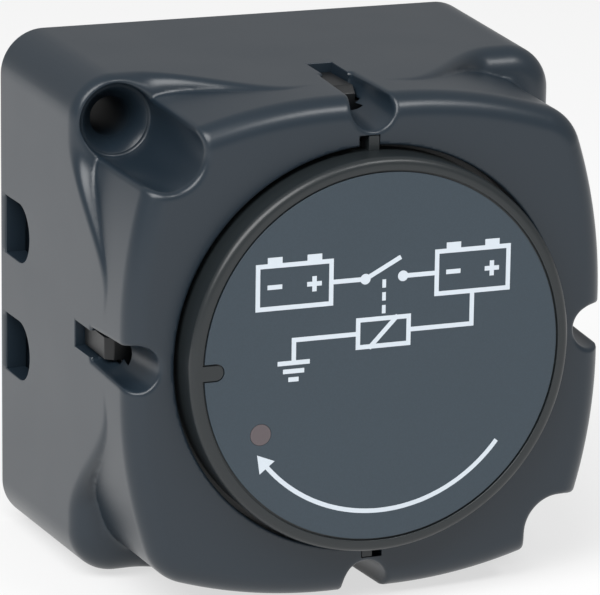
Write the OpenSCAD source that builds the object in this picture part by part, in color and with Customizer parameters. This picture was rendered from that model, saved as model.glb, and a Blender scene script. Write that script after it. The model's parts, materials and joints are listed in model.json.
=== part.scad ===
// Battery isolator relay: a square moulded housing that is screwed to a wall through two corners,
// with a round relay drum snapped into it. Depths are measured forward (towards -Y) from the wall.

/* [Fits] */
// Clearance round screws, pins and strips in their holes
hole_gap = 0.1; // [0.05:0.01:0.15]
// Running clearance round the plunger and of what slides on the push rod
slide_gap = 0.08; // [0.05:0.01:0.1]
// Clearance of the latches' hinge pins
hinge_gap = 0.05; // [0.02:0.01:0.1]
// Gap between each latch and the notch that it turns in
notch_gap = 0.4; // [0.3:0.05:0.6]

/* [Housing] */
// Width and height of the housing at the wall
body_w = 69; // [66:0.5:76]
// Radius of the housing's long corners
body_corner_r = 6; // [4.5:0.25:8]
// Draft of the side walls, in degrees
body_draft = 1.5; // [0.5:0.25:2.5]
// Thickness of the side walls
wall_t = 2.1; // [1.8:0.1:2.4]
// Depth of the front plate's face
plate_depth = 48.3; // [47.5:0.1:49]
// Thickness of the front plate
plate_t = 2.6; // [2:0.1:2.8]
// Rounding of the front plate's edge
front_edge_r = 3; // [1.5:0.25:4]
// Radius of the front block's bowed sides
block_side_r = 67; // [60:1:90]
// Radius of the front block's corners
block_corner_r = 7.1; // [5:0.1:9]
// Length of the straight middle of each bowed side
block_flat_w = 8; // [4:0.5:12]
// Gap between the drum and the opening for it
opening_gap = 0.7; // [0.3:0.1:0.9]

/* [Shoulders] */
// Depth of the corner shoulders
shoulder_depth = 29.7; // [28.8:0.1:31]
// Rounding of the shoulders' outer edge
shoulder_roll_r = 3.5; // [2:0.25:4]
// Depth where the shoulder's ramp ends at the middle of each side
ramp_depth = 43; // [40:0.5:44]
// Distance from the middle of a side to the ramp's deep end
ramp_start = 7.5; // [6:0.5:9]
// How far from the housing's sides the ramps end
ramp_end_inset = 9; // [7.5:0.5:10]
// Fillet between a shoulder and the front block
valley_r = 0.9; // [0.4:0.1:1.2]

/* [Mounting screws] */
// How far the mounting screws stand in from the housing's sides
screw_inset = 6.8; // [6.5:0.1:7.2]
// Radius of each mounting screw hole
screw_hole_r = 2.7; // [2.2:0.1:3.2]
// Radius of the driver channel over each screw
channel_r = 4.9; // [4.2:0.1:5.1]
// Depth of the screw head's seat, where its cone is widest
seat_depth = 27.2; // [25:0.1:27.6]
// Wall of the column around each driver channel
column_wall = 2; // [1.4:0.1:2.2]

/* [Release scoops] */
// Radius of each scoop at the front face
scoop_r = 3.05; // [2.6:0.05:3.2]
// Radius of each scoop at its rear end
scoop_rear_r = 2.2; // [1.8:0.05:2.5]
// How far a scoop's axis lies in from the side at its front end
scoop_inset = 2.6; // [2.1:0.1:3]
// How far a scoop's axis lies in from the side at its rear end
scoop_rear_inset = 1.5; // [0.9:0.1:1.9]
// Depth of the scoop's rear end
scoop_rear_depth = 34.5; // [33:0.5:37]
// Wall of the trough under each scoop
trough_wall = 1.5; // [1.1:0.1:1.7]
// Depth where the trough under each scoop begins
trough_depth = 40.5; // [39.8:0.1:41.5]
// Width of the slot behind each scoop
slot_w = 3.6; // [3.2:0.1:4.2]
// Depth of the slot's rear edge
slot_rear_depth = 28.8; // [28.2:0.1:29]
// Depth of the slot's front end
slot_front_depth = 38.8; // [38.5:0.1:39.6]

/* [Cable openings] */
// Width of each cable opening
cable_w = 8; // [6:0.25:8.5]
// Distance from the centre to each cable opening's middle
cable_h = 8.2; // [7.8:0.1:9]
// Depth of each cable opening's rear edge
cable_rear_depth = 1.7; // [1.7:0.1:2.4]
// Depth of each cable opening's round front end
cable_front_depth = 11.2; // [9.5:0.1:12]

/* [Rear cover] */
// Thickness of the rear cover
cover_t = 1.2; // [0.9:0.05:1.3]
// Width of the rim that the rear cover sits in
cover_rim = 1.6; // [1.2:0.1:2]
// Gap round the rear cover
cover_gap = 0.2; // [0.1:0.05:0.3]
// How far the rear cover's face lies inside the rim
cover_inset = 0.15; // [0.05:0.05:0.2]
// Radius of the cover screws' heads
cover_head_r = 2.3; // [2:0.1:2.4]
// Radius of the cover screws' shanks
cover_shank_r = 1.3; // [1.2:0.05:1.4]
// Length of the cover screws
cover_screw_l = 8; // [6:0.5:9]
// Radius of the bosses for the cover screws
cover_boss_r = 4.6; // [4.4:0.1:5]

/* [Relay drum] */
// How far the drum's face stands out over its barrel
drum_step = 0.9; // [0.6:0.05:1.05]
// Depth of the drum's front face
drum_depth = 52.5; // [52:0.1:54]
// Rounding of the drum's front edge
drum_edge_r = 1; // [0.4:0.1:1.3]
// Thickness of the drum's front wall
drum_front_t = 2.6; // [2.2:0.1:2.7]
// How far the rear flange stands out over the barrel
rear_flange_w = 5; // [4.6:0.1:5.2]
// Thickness of the barrel's wall round the contacts
barrel_wall = 1.3; // [1.1:0.05:1.35]
// Thickness of the barrel's wall round the solenoid
barrel_front_wall = 2.4; // [2.2:0.1:2.6]
// How far the stop flange stands out over the barrel
stop_flange_w = 4.6; // [3.6:0.1:4.8]
// Thickness of the stop flange
stop_flange_t = 1.8; // [1.2:0.1:2.2]
// Gap between the rear flange and the screw columns
column_gap = 1.87; // [1.6:0.01:2.4]
// How far the rear flange stays in from the housing's sides
flange_inset = 4.1; // [3.9:0.1:4.5]
// Thickness of the rear flange
rear_flange_t = 2.5; // [1.8:0.1:3]
// Width of the drum's locking keys
key_w = 1.45; // [1:0.05:1.6]
// Length of a key outside the drum
key_l = 2; // [1.7:0.05:2.1]
// Width of the slot that takes each locking key
key_slot_w = 2.9; // [2.6:0.1:3.2]
// Width of the gap between the drum's ring and the label
label_gap = 0.25; // [0.1:0.05:0.4]

/* [Label] */
// Width of the ring round the label
label_rim = 1.9; // [1.8:0.1:2.7]
// Thickness of the label
label_t = 0.3; // [0.1:0.05:0.35]
// Depth of the recess that the label lies in
label_recess = 0.4; // [0.35:0.05:0.5]
// Width of the drum's tab in the label's notch
tab_w = 1.95; // [1.5:0.05:2.2]
// Length of the drum's tab, from the ring inward
tab_l = 2.75; // [2:0.05:3.2]
// How far the indicator window lies in from the label's edge
window_inset = 5.52; // [5:0.02:6.5]
// Place of the indicator window round the label, in degrees
window_angle = 207.8; // [200:0.1:215]
// Radius of the indicator window
window_r = 1.45; // [1:0.05:1.6]

/* [Terminals] */
// Share of the chamber's bore that the studs' ring has
stud_ring_share = 0.664; // [0.65:0.002:0.68]
// Gap between a washer and the wall between the cable lanes
washer_gap = 0.6; // [0.5:0.1:1]
// Radius of the studs
stud_r = 4; // [3:0.1:4]
// Radius of the studs' heads
stud_head_r = 6.2; // [5.8:0.1:6.4]
// Thickness of the studs' heads
stud_head_t = 2.5; // [2:0.1:2.5]
// Depth of the studs' free ends
stud_end_depth = 2.4; // [2:0.1:4]
// Radius of the flat washers
washer_r = 8; // [7:0.1:8.2]
// Thickness of the flat washers
washer_t = 1.6; // [1:0.1:1.8]
// Radius of the spring washers
spring_washer_r = 7; // [6.5:0.1:7.4]
// Thickness of the spring washers
spring_washer_t = 2; // [1.2:0.1:2.2]
// Width of the split in each spring washer
spring_washer_split = 0.8; // [0.4:0.1:1.2]
// Width of the nuts across their flats
nut_af = 13; // [12.5:0.1:13.5]
// Thickness of the nuts
nut_t = 6.5; // [4.5:0.1:6.6]
// Width of the blade for the negative lead
blade_w = 6.3; // [4.8:0.1:6.5]
// Thickness of the blade
blade_t = 0.8; // [0.5:0.1:0.9]
// Depth of the blade's free end
blade_end_depth = 6; // [4:0.5:9]

/* [Terminal base] */
// Depth of the terminal base's rear face
base_depth = 15.7; // [15.4:0.1:16]
// Thickness of the terminal base
base_t = 3; // [2.8:0.1:3.2]
// Gap round the terminal base
base_gap = 0.42; // [0.3:0.02:0.6]
// Gap between the terminal base and the screw columns
base_column_gap = 0.37; // [0.25:0.01:1]
// Thickness of the wall between the two cable lanes
divider_t = 1.6; // [1:0.1:1.8]
// Depth of the divider's rear edge
divider_end_depth = 2.2; // [2:0.1:4]
// Thickness of the gasket between the base and the drum
gasket_t = 0.8; // [0.5:0.1:1.2]
// How far the base screws stand in from the rear flange's edge
base_screw_inset = 2.5; // [2.4:0.05:2.6]
// Radius of the base screws' shanks
base_shank_r = 1.25; // [1:0.05:1.3]
// Radius of the base screws' heads
base_head_r = 2.4; // [2:0.1:2.6]
// Height of the small screws' pan heads
pan_head_t = 1.6; // [1:0.1:1.7]

/* [Contacts] */
// Thickness of each silver contact
pad_t = 1; // [0.6:0.1:1.1]
// Radius of each silver contact
pad_r = 3.8; // [3:0.1:4]
// Travel of the plunger
plunger_travel = 2.5; // [2.2:0.1:2.6]
// Travel of the plunger after the contacts have closed
overtravel = 0.5; // [0.3:0.1:0.6]
// Gap that is left between closed contacts in this model
touch_gap = 0.05; // [0.02:0.01:0.1]
// Width of the contact bridge
bridge_w = 10; // [8:0.5:11]
// Thickness of the contact bridge
bridge_t = 2; // [1.5:0.1:2.2]
// How far the bridge reaches past each stud axis
bridge_reach = 4.6; // [4:0.1:5]
// Radius of the push rod
rod_r = 1.5; // [1.2:0.05:1.6]
// Radius of the push rod's collar
collar_r = 3.3; // [3:0.1:3.6]
// Thickness of the push rod's collar
collar_t = 0.8; // [0.6:0.1:1]
// Length of the contact spring with the contacts open
contact_spring_l = 2.9; // [2.6:0.1:3.2]
// Thickness of the insulating seat under the contact spring
seat_t = 0.8; // [0.5:0.1:1]
// Thickness of the retaining clip
clip_t = 0.6; // [0.4:0.1:0.8]
// Radius of the retaining clip
clip_r = 3; // [2.6:0.1:3.4]
// Gap round the contact chamber
chamber_gap = 0.2; // [0.1:0.05:0.3]
// Wall of the contact chamber
chamber_wall = 2.1; // [1.6:0.1:2.2]
// Thickness of the ledge that carries the yoke
ledge_t = 1.8; // [1.4:0.1:2.2]
// Width of the ledge that carries the yoke
ledge_w = 4.8; // [4.4:0.1:5.3]

/* [Solenoid] */
// How far the yoke stays in from the chamber's bore
yoke_inset = 3.6; // [3.4:0.1:4]
// Half height of the yoke
yoke_half_h = 10; // [9:0.1:10.5]
// Thickness of the yoke's plates
yoke_t = 2; // [1.6:0.1:2]
// Height of the space for the bobbin between the yoke's plates
yoke_gap = 10; // [9.9:0.05:10.1]
// Half width of the yoke's screw ears
ear_half_w = 3.5; // [3:0.1:4]
// How far the yoke screws stand in from the chamber's bore
ear_screw_inset = 3.6; // [3.4:0.1:3.8]
// Radius of the yoke screws' heads
yoke_head_r = 2.5; // [2:0.1:2.6]
// Radius of the yoke screws' shanks
yoke_shank_r = 1.4; // [1.1:0.1:1.5]
// Length of the yoke screws' shanks
yoke_screw_l = 7; // [5:0.5:7.5]
// Radius of the plunger and the fixed core
plunger_r = 5.5; // [5:0.1:5.6]
// Length of the fixed core in the bobbin
core_l = 3; // [2.5:0.1:3.2]
// Radius of the fixed core's rivet end
core_spigot_r = 4; // [3.6:0.1:4.4]
// Radius of the spring's bore in the core and the plunger
spring_bore_r = 3.2; // [3.1:0.05:3.4]
// Depth of the spring's bore in the fixed core
core_bore_l = 2; // [1.5:0.1:2.4]
// Depth of the spring's bore in the plunger
plunger_bore_l = 3.5; // [3:0.1:4]
// Length of the plunger
plunger_l = 6.9; // [6.6:0.1:7]
// Air gap that stays between core and plunger when closed
air_gap = 0.1; // [0.05:0.05:0.2]
// Gap between the bobbin's flanges and the yoke
bobbin_gap = 1.2; // [1.1:0.1:2.2]
// Thickness of the coil bobbin's flanges
bobbin_flange_t = 1; // [0.7:0.1:1.2]
// Wall of the coil bobbin's tube
bobbin_wall = 1.05; // [0.7:0.05:1.2]
// How far the winding stays in from the bobbin's edge
winding_step = 0.4; // [0.2:0.1:3]
// Radius of the wire of both springs
spring_wire_r = 0.25; // [0.2:0.01:0.3]
// Mean radius of both springs
spring_mean_r = 2.5; // [2.4:0.05:2.6]

/* [Circuit board] */
// Gap round the circuit board
board_gap = 0.6; // [0.4:0.1:0.8]
// Thickness of the circuit board
board_t = 1.6; // [1:0.1:1.6]
// Height of the posts between board and drum front
post_h = 0.7; // [0.7:0.05:0.8]
// How far the board screws stand in from the board's edge
board_screw_inset = 2.2; // [2.1:0.1:2.4]
// Radius of the board screws' shanks
board_shank_r = 1.1; // [0.9:0.1:1.2]
// Radius of the board screws' heads
board_head_r = 1.8; // [1.5:0.1:1.9]
// Radius of the capacitors
capacitor_r = 3.1; // [2.5:0.1:3.2]
// Height of the capacitors
capacitor_h = 7.4; // [5:0.1:8]

/* [Latches] */
// Width of each latch arm
latch_w = 6.4; // [5:0.1:7]
// Thickness of each latch arm
latch_t = 1.6; // [1.2:0.1:1.8]
// How far a latch's outer face lies in from the housing's side
latch_inset = 4; // [3.9:0.05:4.2]
// How far a catch's outer face lies in from the housing's side
catch_inset = 2; // [1.7:0.1:2.5]
// Depth of the catch's front end
catch_front_depth = 38; // [36:0.1:38.2]
// Running gap behind each catch
catch_gap = 0.3; // [0.2:0.05:0.4]
// Radius of each latch's hinge pins
hinge_pin_r = 0.8; // [0.6:0.05:0.9]
// Length of each latch's hinge pins
hinge_pin_l = 1.5; // [1:0.1:2]

/* [Hidden] */
$fn = 64;

// Overrun of every cut
cut = 1;
// The two corners with mounting screws, and the two with cover screws
screw_corners = [[-1, 1], [1, -1]];
cover_corners = [[1, 1], [-1, -1]];
// Turns from the top to each side of the housing
side_turns = [0, 90, 180, 270];

// Depths that stack up from the wall
base_front = base_depth + base_t;
flange_depth = base_front + gasket_t;
head_front = base_front + stud_head_t;
fixed_pad_front = head_front + pad_t;
contact_gap = plunger_travel - overtravel + touch_gap;
moving_pad_rear = fixed_pad_front + contact_gap;
bridge_rear = moving_pad_rear + pad_t;
bridge_front = bridge_rear + bridge_t;
seat_front = bridge_front + seat_t;
collar_rear = seat_front + contact_spring_l;
collar_front = collar_rear + collar_t;
yoke_rear = collar_front + collar_t;
yoke_floor = yoke_rear + yoke_t;
yoke_roof = yoke_floor + yoke_gap;
yoke_front = yoke_roof + yoke_t;
core_front = yoke_floor + core_l;
plunger_rear = core_front + air_gap + plunger_travel;
plunger_front = plunger_rear + plunger_l;
spring_rear = core_front - core_bore_l;
spring_front = plunger_rear + plunger_bore_l;
front_wall_rear = drum_depth - drum_front_t;
board_front = front_wall_rear - post_h;
board_rear = board_front - board_t;
recess_depth = drum_depth - label_recess;
plate_rear = plate_depth - plate_t;

// Radii that follow from the housing's width
column_r = channel_r + column_wall;
screw_at = body_w / 2 - screw_inset;
column_reach = screw_at * sqrt(2) - column_r;
rear_flange_r = min(body_w / 2 - flange_inset, column_reach - column_gap);
barrel_r = rear_flange_r - rear_flange_w;
stop_flange_r = barrel_r + stop_flange_w;
barrel_bore_r = barrel_r - barrel_wall;
barrel_front_bore_r = barrel_r - barrel_front_wall;
drum_r = barrel_r + drum_step;
opening_r = drum_r + opening_gap;
key_reach_r = drum_r + key_l;
label_r = drum_r - label_rim;
chamber_r = barrel_bore_r - chamber_gap;
chamber_bore_r = chamber_r - chamber_wall;
ledge_r = chamber_bore_r - ledge_w;
base_screw_ring_r = rear_flange_r - base_screw_inset;
yoke_half_w = chamber_bore_r - yoke_inset;
bobbin_r = yoke_half_w - yoke_t - bobbin_gap;
winding_r = bobbin_r - winding_step;
board_r = barrel_front_bore_r - board_gap;
board_screw_ring_r = board_r - board_screw_inset;

// Places around the axis
ramp_end = body_w / 2 - ramp_end_inset;
scoop_axis_h = body_w / 2 - scoop_inset;
scoop_rear_axis_h = body_w / 2 - scoop_rear_inset;
latch_h = body_w / 2 - latch_inset;
catch_h = body_w / 2 - catch_inset;
ear_screw_h = chamber_bore_r - ear_screw_inset;
window_x = (label_r - window_inset) * cos(window_angle);
window_z = (label_r - window_inset) * sin(window_angle);
stud_pitch = 2 * stud_ring_share * chamber_bore_r;
stud_h = washer_r + divider_t / 2 + washer_gap;
stud_angle = acos(stud_h * 2 / stud_pitch) + 90;
stud_x = stud_pitch / 2 * cos(stud_angle);
blade_angle = 225;
strip_r = chamber_r - chamber_wall - 0.025 * chamber_r;
strip_t = blade_t * 0.6;
strip_w = blade_t * 3;
hinge_depth = base_depth + base_t / 2;
hinge_h = latch_h - latch_t / 2;
notch_half_w = latch_w / 2 + notch_gap / 2;

// Half width of the drafted housing at a depth
function half_at(d) = body_w / 2 - d * tan(body_draft);
// Folds an angle about the axis into the half corner between a side's middle and the corner
function folded(a) = let (m = a % 90) m <= 45 ? m : 90 - m;
// Distance from a point at the origin's side along a ray at angle a to a circle about c
function ray_to_circle(a, c, r) =
    let (along = c[0] * cos(a) + c[1] * sin(a))
    along + sqrt(along * along - c * c + r * r);
// Rounded square seen from its centre: distance to its outline at angle a
function square_reach(a, half, r) =
    let (k = half - r)
    a < atan(k / half) ? half / cos(a) : ray_to_circle(a, [k, k], r);
// Front block seen from its centre, grown by g: distance to its bowed outline at angle a
front_half = half_at(plate_depth);
side_centre = [front_half - block_side_r, block_flat_w / 2];
corner_sum = side_centre[0] + side_centre[1];
corner_rest = side_centre * side_centre - pow(block_side_r - block_corner_r, 2);
corner_at = (corner_sum + sqrt(corner_sum * corner_sum - 2 * corner_rest)) / 2;
corner_centre = [corner_at, corner_at];
corner_touch = side_centre
    + (corner_centre - side_centre) * block_side_r / (block_side_r - block_corner_r);
corner_touch_angle = atan2(corner_touch[1], corner_touch[0]);
function block_reach(a, g) =
    a < atan(side_centre[1] / (front_half + g)) ? (front_half + g) / cos(a)
    : a < corner_touch_angle ? ray_to_circle(a, side_centre, block_side_r + g)
    : ray_to_circle(a, corner_centre, block_corner_r + g);
function block_at(a, d) = block_reach(a, half_at(d) - front_half);
// Depth where the shoulder ends at distance s from the middle of a side
function ramp_at(s) =
    let (t = min(max((s - ramp_start) / (ramp_end - ramp_start), 0), 1))
    ramp_depth - (ramp_depth - shoulder_depth) * t * t * (3 - 2 * t);

// Wall of the box drawn in by w at depth d, as far as the shoulder's edge rolls over
function roll_reach(a, d, w) = square_reach(a, half_at(d) - w, body_corner_r - w);

// The skin's section at one angle, as [distance, depth] from the wall to the front plate
roll_steps = 4;
edge_steps = 4;
least_turn = 14;
corner_start = atan((body_w / 2 - body_corner_r) / (body_w / 2));
function section(a) =
    let (
        end = ramp_at(square_reach(a, half_at(shoulder_depth), body_corner_r) * sin(a)),
        gap = max(roll_reach(a, end, 0) - block_at(a, end), 0) * (a < corner_start ? cos(a) : 1),
        turn = max(acos(1 - min(gap, shoulder_roll_r) / shoulder_roll_r), least_turn),
        roll_w = shoulder_roll_r * (1 - cos(turn)),
        roll_end = end - shoulder_roll_r * (1 - sin(turn)),
        foot = roll_end + valley_r / 6,
        valley = min(roll_reach(a, roll_end, roll_w) - valley_r / 6, block_at(a, foot) + valley_r)
    )
    concat(
        [[square_reach(a, half_at(0), body_corner_r), 0]],
        [for (i = [0:roll_steps])
            let (
                b = turn * i / roll_steps,
                d = end - shoulder_roll_r * (1 - sin(b))
            )
            [max(roll_reach(a, d, shoulder_roll_r * (1 - cos(b))), block_at(a, d)), d]],
        [[max(valley, block_at(a, foot)), foot], [block_at(a, foot + valley_r), foot + valley_r]],
        [for (i = [0:edge_steps])
            let (
                b = 90 * i / edge_steps,
                d = plate_depth - front_edge_r * (1 - sin(b))
            )
            [block_reach(a, half_at(d) - front_half - front_edge_r * (1 - cos(b))), d]]
    );

// Directions of the sections, from a side's middle to its corner, as shares of 45 degrees
octant_share = [0, 0.15, 0.26, 0.37, 0.48, 0.59, 0.68, 0.76, 0.83, 0.88, 0.92, 0.96, 1];
octant_count = len(octant_share);
quarter = concat([for (s = octant_share) 45 * s],
    [for (i = [octant_count - 2:-1:1]) 90 - 45 * octant_share[i]]);
skin_angles = [for (q = [0:3]) each [for (a = quarter) 90 * q + a]];
skin_count = len(skin_angles);
ring_count = len(section(0));

// Outer skin of the housing as one closed solid
module skin() {
    sections = [for (a = skin_angles) section(folded(a))];
    points = [for (j = [0:ring_count - 1]) each [for (i = [0:skin_count - 1])
        [sections[i][j][0] * cos(skin_angles[i]), -sections[i][j][1],
            sections[i][j][0] * sin(skin_angles[i])]]];
    sides = [for (j = [0:ring_count - 2]) each [for (i = [0:skin_count - 1])
        let (
            n = (i + 1) % skin_count,
            a = j * skin_count + i,
            b = j * skin_count + n,
            c = a + skin_count,
            d = b + skin_count
        )
        each [[a, d, b], [a, c, d]]]];
    last = (ring_count - 1) * skin_count;
    middle = ring_count * skin_count;
    caps = [for (i = [0:skin_count - 1])
        let (n = (i + 1) % skin_count)
        each [[i, n, middle], [last + n, last + i, middle + 1]]];
    polyhedron(concat(points, [[0, 0, 0], [0, -plate_depth, 0]]), concat(sides, caps));
}

// Extrudes an outline in X and Z from one depth to another
module slab(from, to) translate([0, -from, 0]) rotate([90, 0, 0]) linear_extrude(to - from) children();
// Round bar along the depth
module bar(r, from, to, x = 0, z = 0)
    translate([x, -from, z]) rotate([90, 0, 0]) cylinder(h = to - from, r = r);
// Cone along the depth
module cone(r_from, r_to, from, to, x = 0, z = 0)
    translate([x, -from, z]) rotate([90, 0, 0]) cylinder(h = to - from, r1 = r_from, r2 = r_to);
// Tube along the depth
module tube(r_out, r_in, from, to, x = 0, z = 0) difference() {
    bar(r_out, from, to, x, z);
    bar(r_in, from - cut, to + cut, x, z);
}
// Block between two depths, by its limits in X and Z
module block(from, to, x0, x1, z0, z1)
    translate([x0, -to, z0]) cube([x1 - x0, to - from, z1 - z0]);
// Turns children about the axis, anticlockwise as seen from the front
module turned(a) rotate([0, -a, 0]) children();
// Repeats a child made for the top at every side
module at_sides() for (a = side_turns) turned(a) children();
// Square with round corners
module round_square(half, r) union() {
    square([2 * half, 2 * (half - r)], center = true);
    square([2 * (half - r), 2 * half], center = true);
    for (sx = [-1, 1], sz = [-1, 1]) translate([sx * (half - r), sz * (half - r)]) circle(r);
}

// Cavity of the housing, without what stands in it
cavity_half = half_at(shoulder_depth) - wall_t;
cavity_corner_r = body_corner_r - wall_t / 2;
cavity_side_r = block_side_r - wall_t;
corner_roof = shoulder_depth - plate_t;
base_half_w = cavity_half - base_gap;
base_corner_r = column_reach - base_column_gap;
module bowed_square() intersection() {
    for_sides = front_half - block_side_r;
    translate([for_sides, 0]) circle(cavity_side_r, $fn = 180);
    translate([-for_sides, 0]) circle(cavity_side_r, $fn = 180);
    translate([0, for_sides]) circle(cavity_side_r, $fn = 180);
    translate([0, -for_sides]) circle(cavity_side_r, $fn = 180);
}
module cavity() {
    slab(-cut, corner_roof) round_square(cavity_half, cavity_corner_r);
    slab(corner_roof - cut, plate_rear) bowed_square();
}
module driver_channel(x, z) {
    bar(screw_hole_r, -cut, seat_depth, x, z);
    cone(screw_hole_r, channel_r, seat_depth - channel_r + screw_hole_r, seat_depth, x, z);
    bar(channel_r, seat_depth, plate_depth + cut, x, z);
}
trough_r = scoop_r + trough_wall;
scoop_l = plate_depth - scoop_rear_depth;
scoop_tilt = atan((scoop_rear_axis_h - scoop_axis_h) / scoop_l);
scoop_widen = (scoop_r - scoop_rear_r) / scoop_l;
module scoop() {
    translate([0, -plate_depth - cut, scoop_axis_h - cut * tan(scoop_tilt)])
        rotate([scoop_tilt - 90, 0, 0])
            cylinder(h = scoop_l + cut, r1 = scoop_r + cut * scoop_widen, r2 = scoop_rear_r);
    block(slot_rear_depth, slot_front_depth, -slot_w / 2, slot_w / 2, latch_h - latch_t, body_w / 2);
}
module cable_openings() {
    half_w = cable_w / 2;
    straight = cable_front_depth - half_w;
    for (s = [-1, 1]) {
        block(cable_rear_depth, straight, -body_w, body_w, s * cable_h - half_w, s * cable_h + half_w);
        translate([-body_w, -straight, s * cable_h]) rotate([0, 90, 0]) cylinder(h = 2 * body_w, r = half_w);
    }
}
key_slot_x = key_w / 2 + hole_gap;
cover_pilot_r = cover_shank_r + hole_gap / 2;
module housing() color([0.24, 0.26, 0.29]) difference() {
    skin();
    slab(-cut, cover_t + cover_inset) cover_outline(0);
    difference() {
        cavity();
        for (c = screw_corners) bar(column_r, -2 * cut, plate_depth, c[0] * screw_at, c[1] * screw_at);
        for (c = cover_corners)
            bar(cover_boss_r, cover_t + cover_inset, cover_screw_l + cut, c[0] * screw_at, c[1] * screw_at);
        at_sides() bar(trough_r, trough_depth, plate_depth, 0, scoop_axis_h);
    }
    bar(opening_r, plate_rear - cut, plate_depth + cut);
    for (a = [0, 180]) turned(a)
        block(plate_rear - cut, plate_depth + cut, key_slot_x - key_slot_w, key_slot_x,
            0, key_reach_r + hole_gap);
    for (c = screw_corners) driver_channel(c[0] * screw_at, c[1] * screw_at);
    for (c = cover_corners)
        bar(cover_pilot_r, 0, cover_screw_l + cut / 2, c[0] * screw_at, c[1] * screw_at);
    at_sides() scoop();
    cable_openings();
}

// Relay drum: the cup that holds the works
module tab_outline(grow) {
    hull_end = label_r + label_gap - tab_l + tab_w / 2;
    translate([-hull_end, 0]) circle(tab_w / 2 + grow);
    translate([-(label_r + label_gap + cut), -tab_w / 2 - grow])
        square([label_r + label_gap + cut - hull_end, tab_w + 2 * grow]);
}
module drum_profile() {
    square_top = drum_depth - drum_edge_r;
    translate([0, plate_rear]) square([drum_r, square_top - plate_rear]);
    translate([0, square_top - cut]) square([drum_r - drum_edge_r, drum_edge_r + cut]);
    translate([drum_r - drum_edge_r, square_top]) circle(drum_edge_r);
}
function board_screw_places() = [for (a = [52, 128, 270]) board_screw_ring_r * [cos(a), sin(a)]];
notch_floor_h = latch_h - latch_t * 1.5 - 2 * notch_gap;
module latch_notch(from, to) for (a = side_turns) turned(a)
    block(from, to, -notch_half_w, notch_half_w, notch_floor_h, body_w / 2);
module relay_drum() color([0.22, 0.24, 0.25]) difference() {
    union() {
        rotate([90, 0, 0]) rotate_extrude() drum_profile();
        difference() {
            bar(stop_flange_r, plate_rear - stop_flange_t, plate_rear);
            at_sides()
                bar(trough_r + notch_gap, plate_rear - 2 * stop_flange_t, plate_depth, 0, scoop_axis_h);
        }
        bar(barrel_r, flange_depth, plate_rear - stop_flange_t);
        difference() {
            bar(rear_flange_r, flange_depth, flange_depth + rear_flange_t);
            latch_notch(flange_depth - cut, flange_depth + rear_flange_t + cut);
        }
        for (a = [0, 180]) turned(a)
            block(plate_rear, plate_depth, -key_w / 2, key_w / 2, opening_r - key_w, key_reach_r);
    }
    difference() {
        union() {
            bar(barrel_bore_r, flange_depth - cut, yoke_rear);
            bar(barrel_front_bore_r, yoke_rear - cut, front_wall_rear);
        }
        for (p = board_screw_places()) bar(board_head_r, board_front, front_wall_rear + cut, p[0], p[1]);
    }
    slab(recess_depth, drum_depth + cut) difference() {
        circle(label_r + label_gap);
        tab_outline(0);
    }
    for (p = board_screw_places())
        bar(board_pilot_r, board_front - cut, recess_depth - board_t / 2, p[0], p[1]);
    bar(window_r + hole_gap / 2, front_wall_rear - cut, drum_depth, window_x, window_z);
    for (p = base_screw_places())
        bar(base_pilot_r, flange_depth - cut, flange_depth + rear_flange_t + cut, p[0], p[1]);
}
board_pilot_r = board_shank_r + hole_gap / 2;
base_pilot_r = base_shank_r + hole_gap / 2;
module label_disc() color([0.28, 0.32, 0.35]) slab(recess_depth, recess_depth + label_t) difference() {
    circle(label_r);
    tab_outline(label_gap * 0.8);
    translate([window_x, window_z]) circle(window_r);
}
module light_pipe() color([0.62, 0.45, 0.44, 0.8])
    bar(window_r - hole_gap / 2, front_wall_rear, recess_depth + label_t, window_x, window_z);

// Circuit board and what is soldered to it
lamp_share = [1.25, 0.8];
chip_share = [3.75, 3.1];
transistor_share = [4, 3.75];
resistor_share = [1.25, 0.75];
strip_angles = [stud_angle, stud_angle + 180, blade_angle];
pin_r = board_t / 4;
pin_h = bobbin_r * 0.85;
module circuit_board() color([0.12, 0.35, 0.2]) difference() {
    bar(board_r, board_rear, board_front);
    for (p = board_screw_places())
        bar(board_pilot_r + hole_gap, board_rear - cut, board_front + cut, p[0], p[1]);
    for (s = [-1, 1]) bar(pin_r + hole_gap / 2, board_rear - cut, board_front + cut, 0, s * pin_h);
    for (a = strip_angles) turned(a)
        block(board_rear - cut, board_front + cut, strip_r - blade_t - hole_gap, board_r + cut,
            -strip_w / 2 - hole_gap, strip_w / 2 + hole_gap);
}
// A part on the board from one depth to another, by its middle and its size
module on_board(from, to, p, size)
    block(from, to, p[0] - size[0] / 2, p[0] + size[0] / 2, p[1] - size[1] / 2, p[1] + size[1] / 2);
module indicator_lamp() color([0.9, 0.85, 0.8])
    on_board(board_front, front_wall_rear, [window_x, window_z], board_t * lamp_share);
module controller_chip() color([0.1, 0.1, 0.11])
    on_board(board_rear - board_t, board_rear, board_r * [-0.28, -0.71], board_t * chip_share);
module driver_transistor() color([0.14, 0.14, 0.15])
    on_board(board_rear - board_t * 1.4, board_rear, board_r * [0.31, -0.67], board_t * transistor_share);
module capacitors() color([0.2, 0.22, 0.5]) for (s = [-1, 1])
    bar(capacitor_r, board_rear - capacitor_h, board_rear, s * capacitor_r * 1.36, board_r * 0.83);
resistor_place_share = [[-0.6, 0.25], [-0.35, 0.3], [0.35, 0.3], [0.6, 0.25], [-0.6, -0.25],
    [0.6, -0.25]];
module resistors() color([0.15, 0.15, 0.16]) for (s = resistor_place_share)
    on_board(board_rear - board_t * 0.35, board_rear, board_r * s, board_t * resistor_share);
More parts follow.
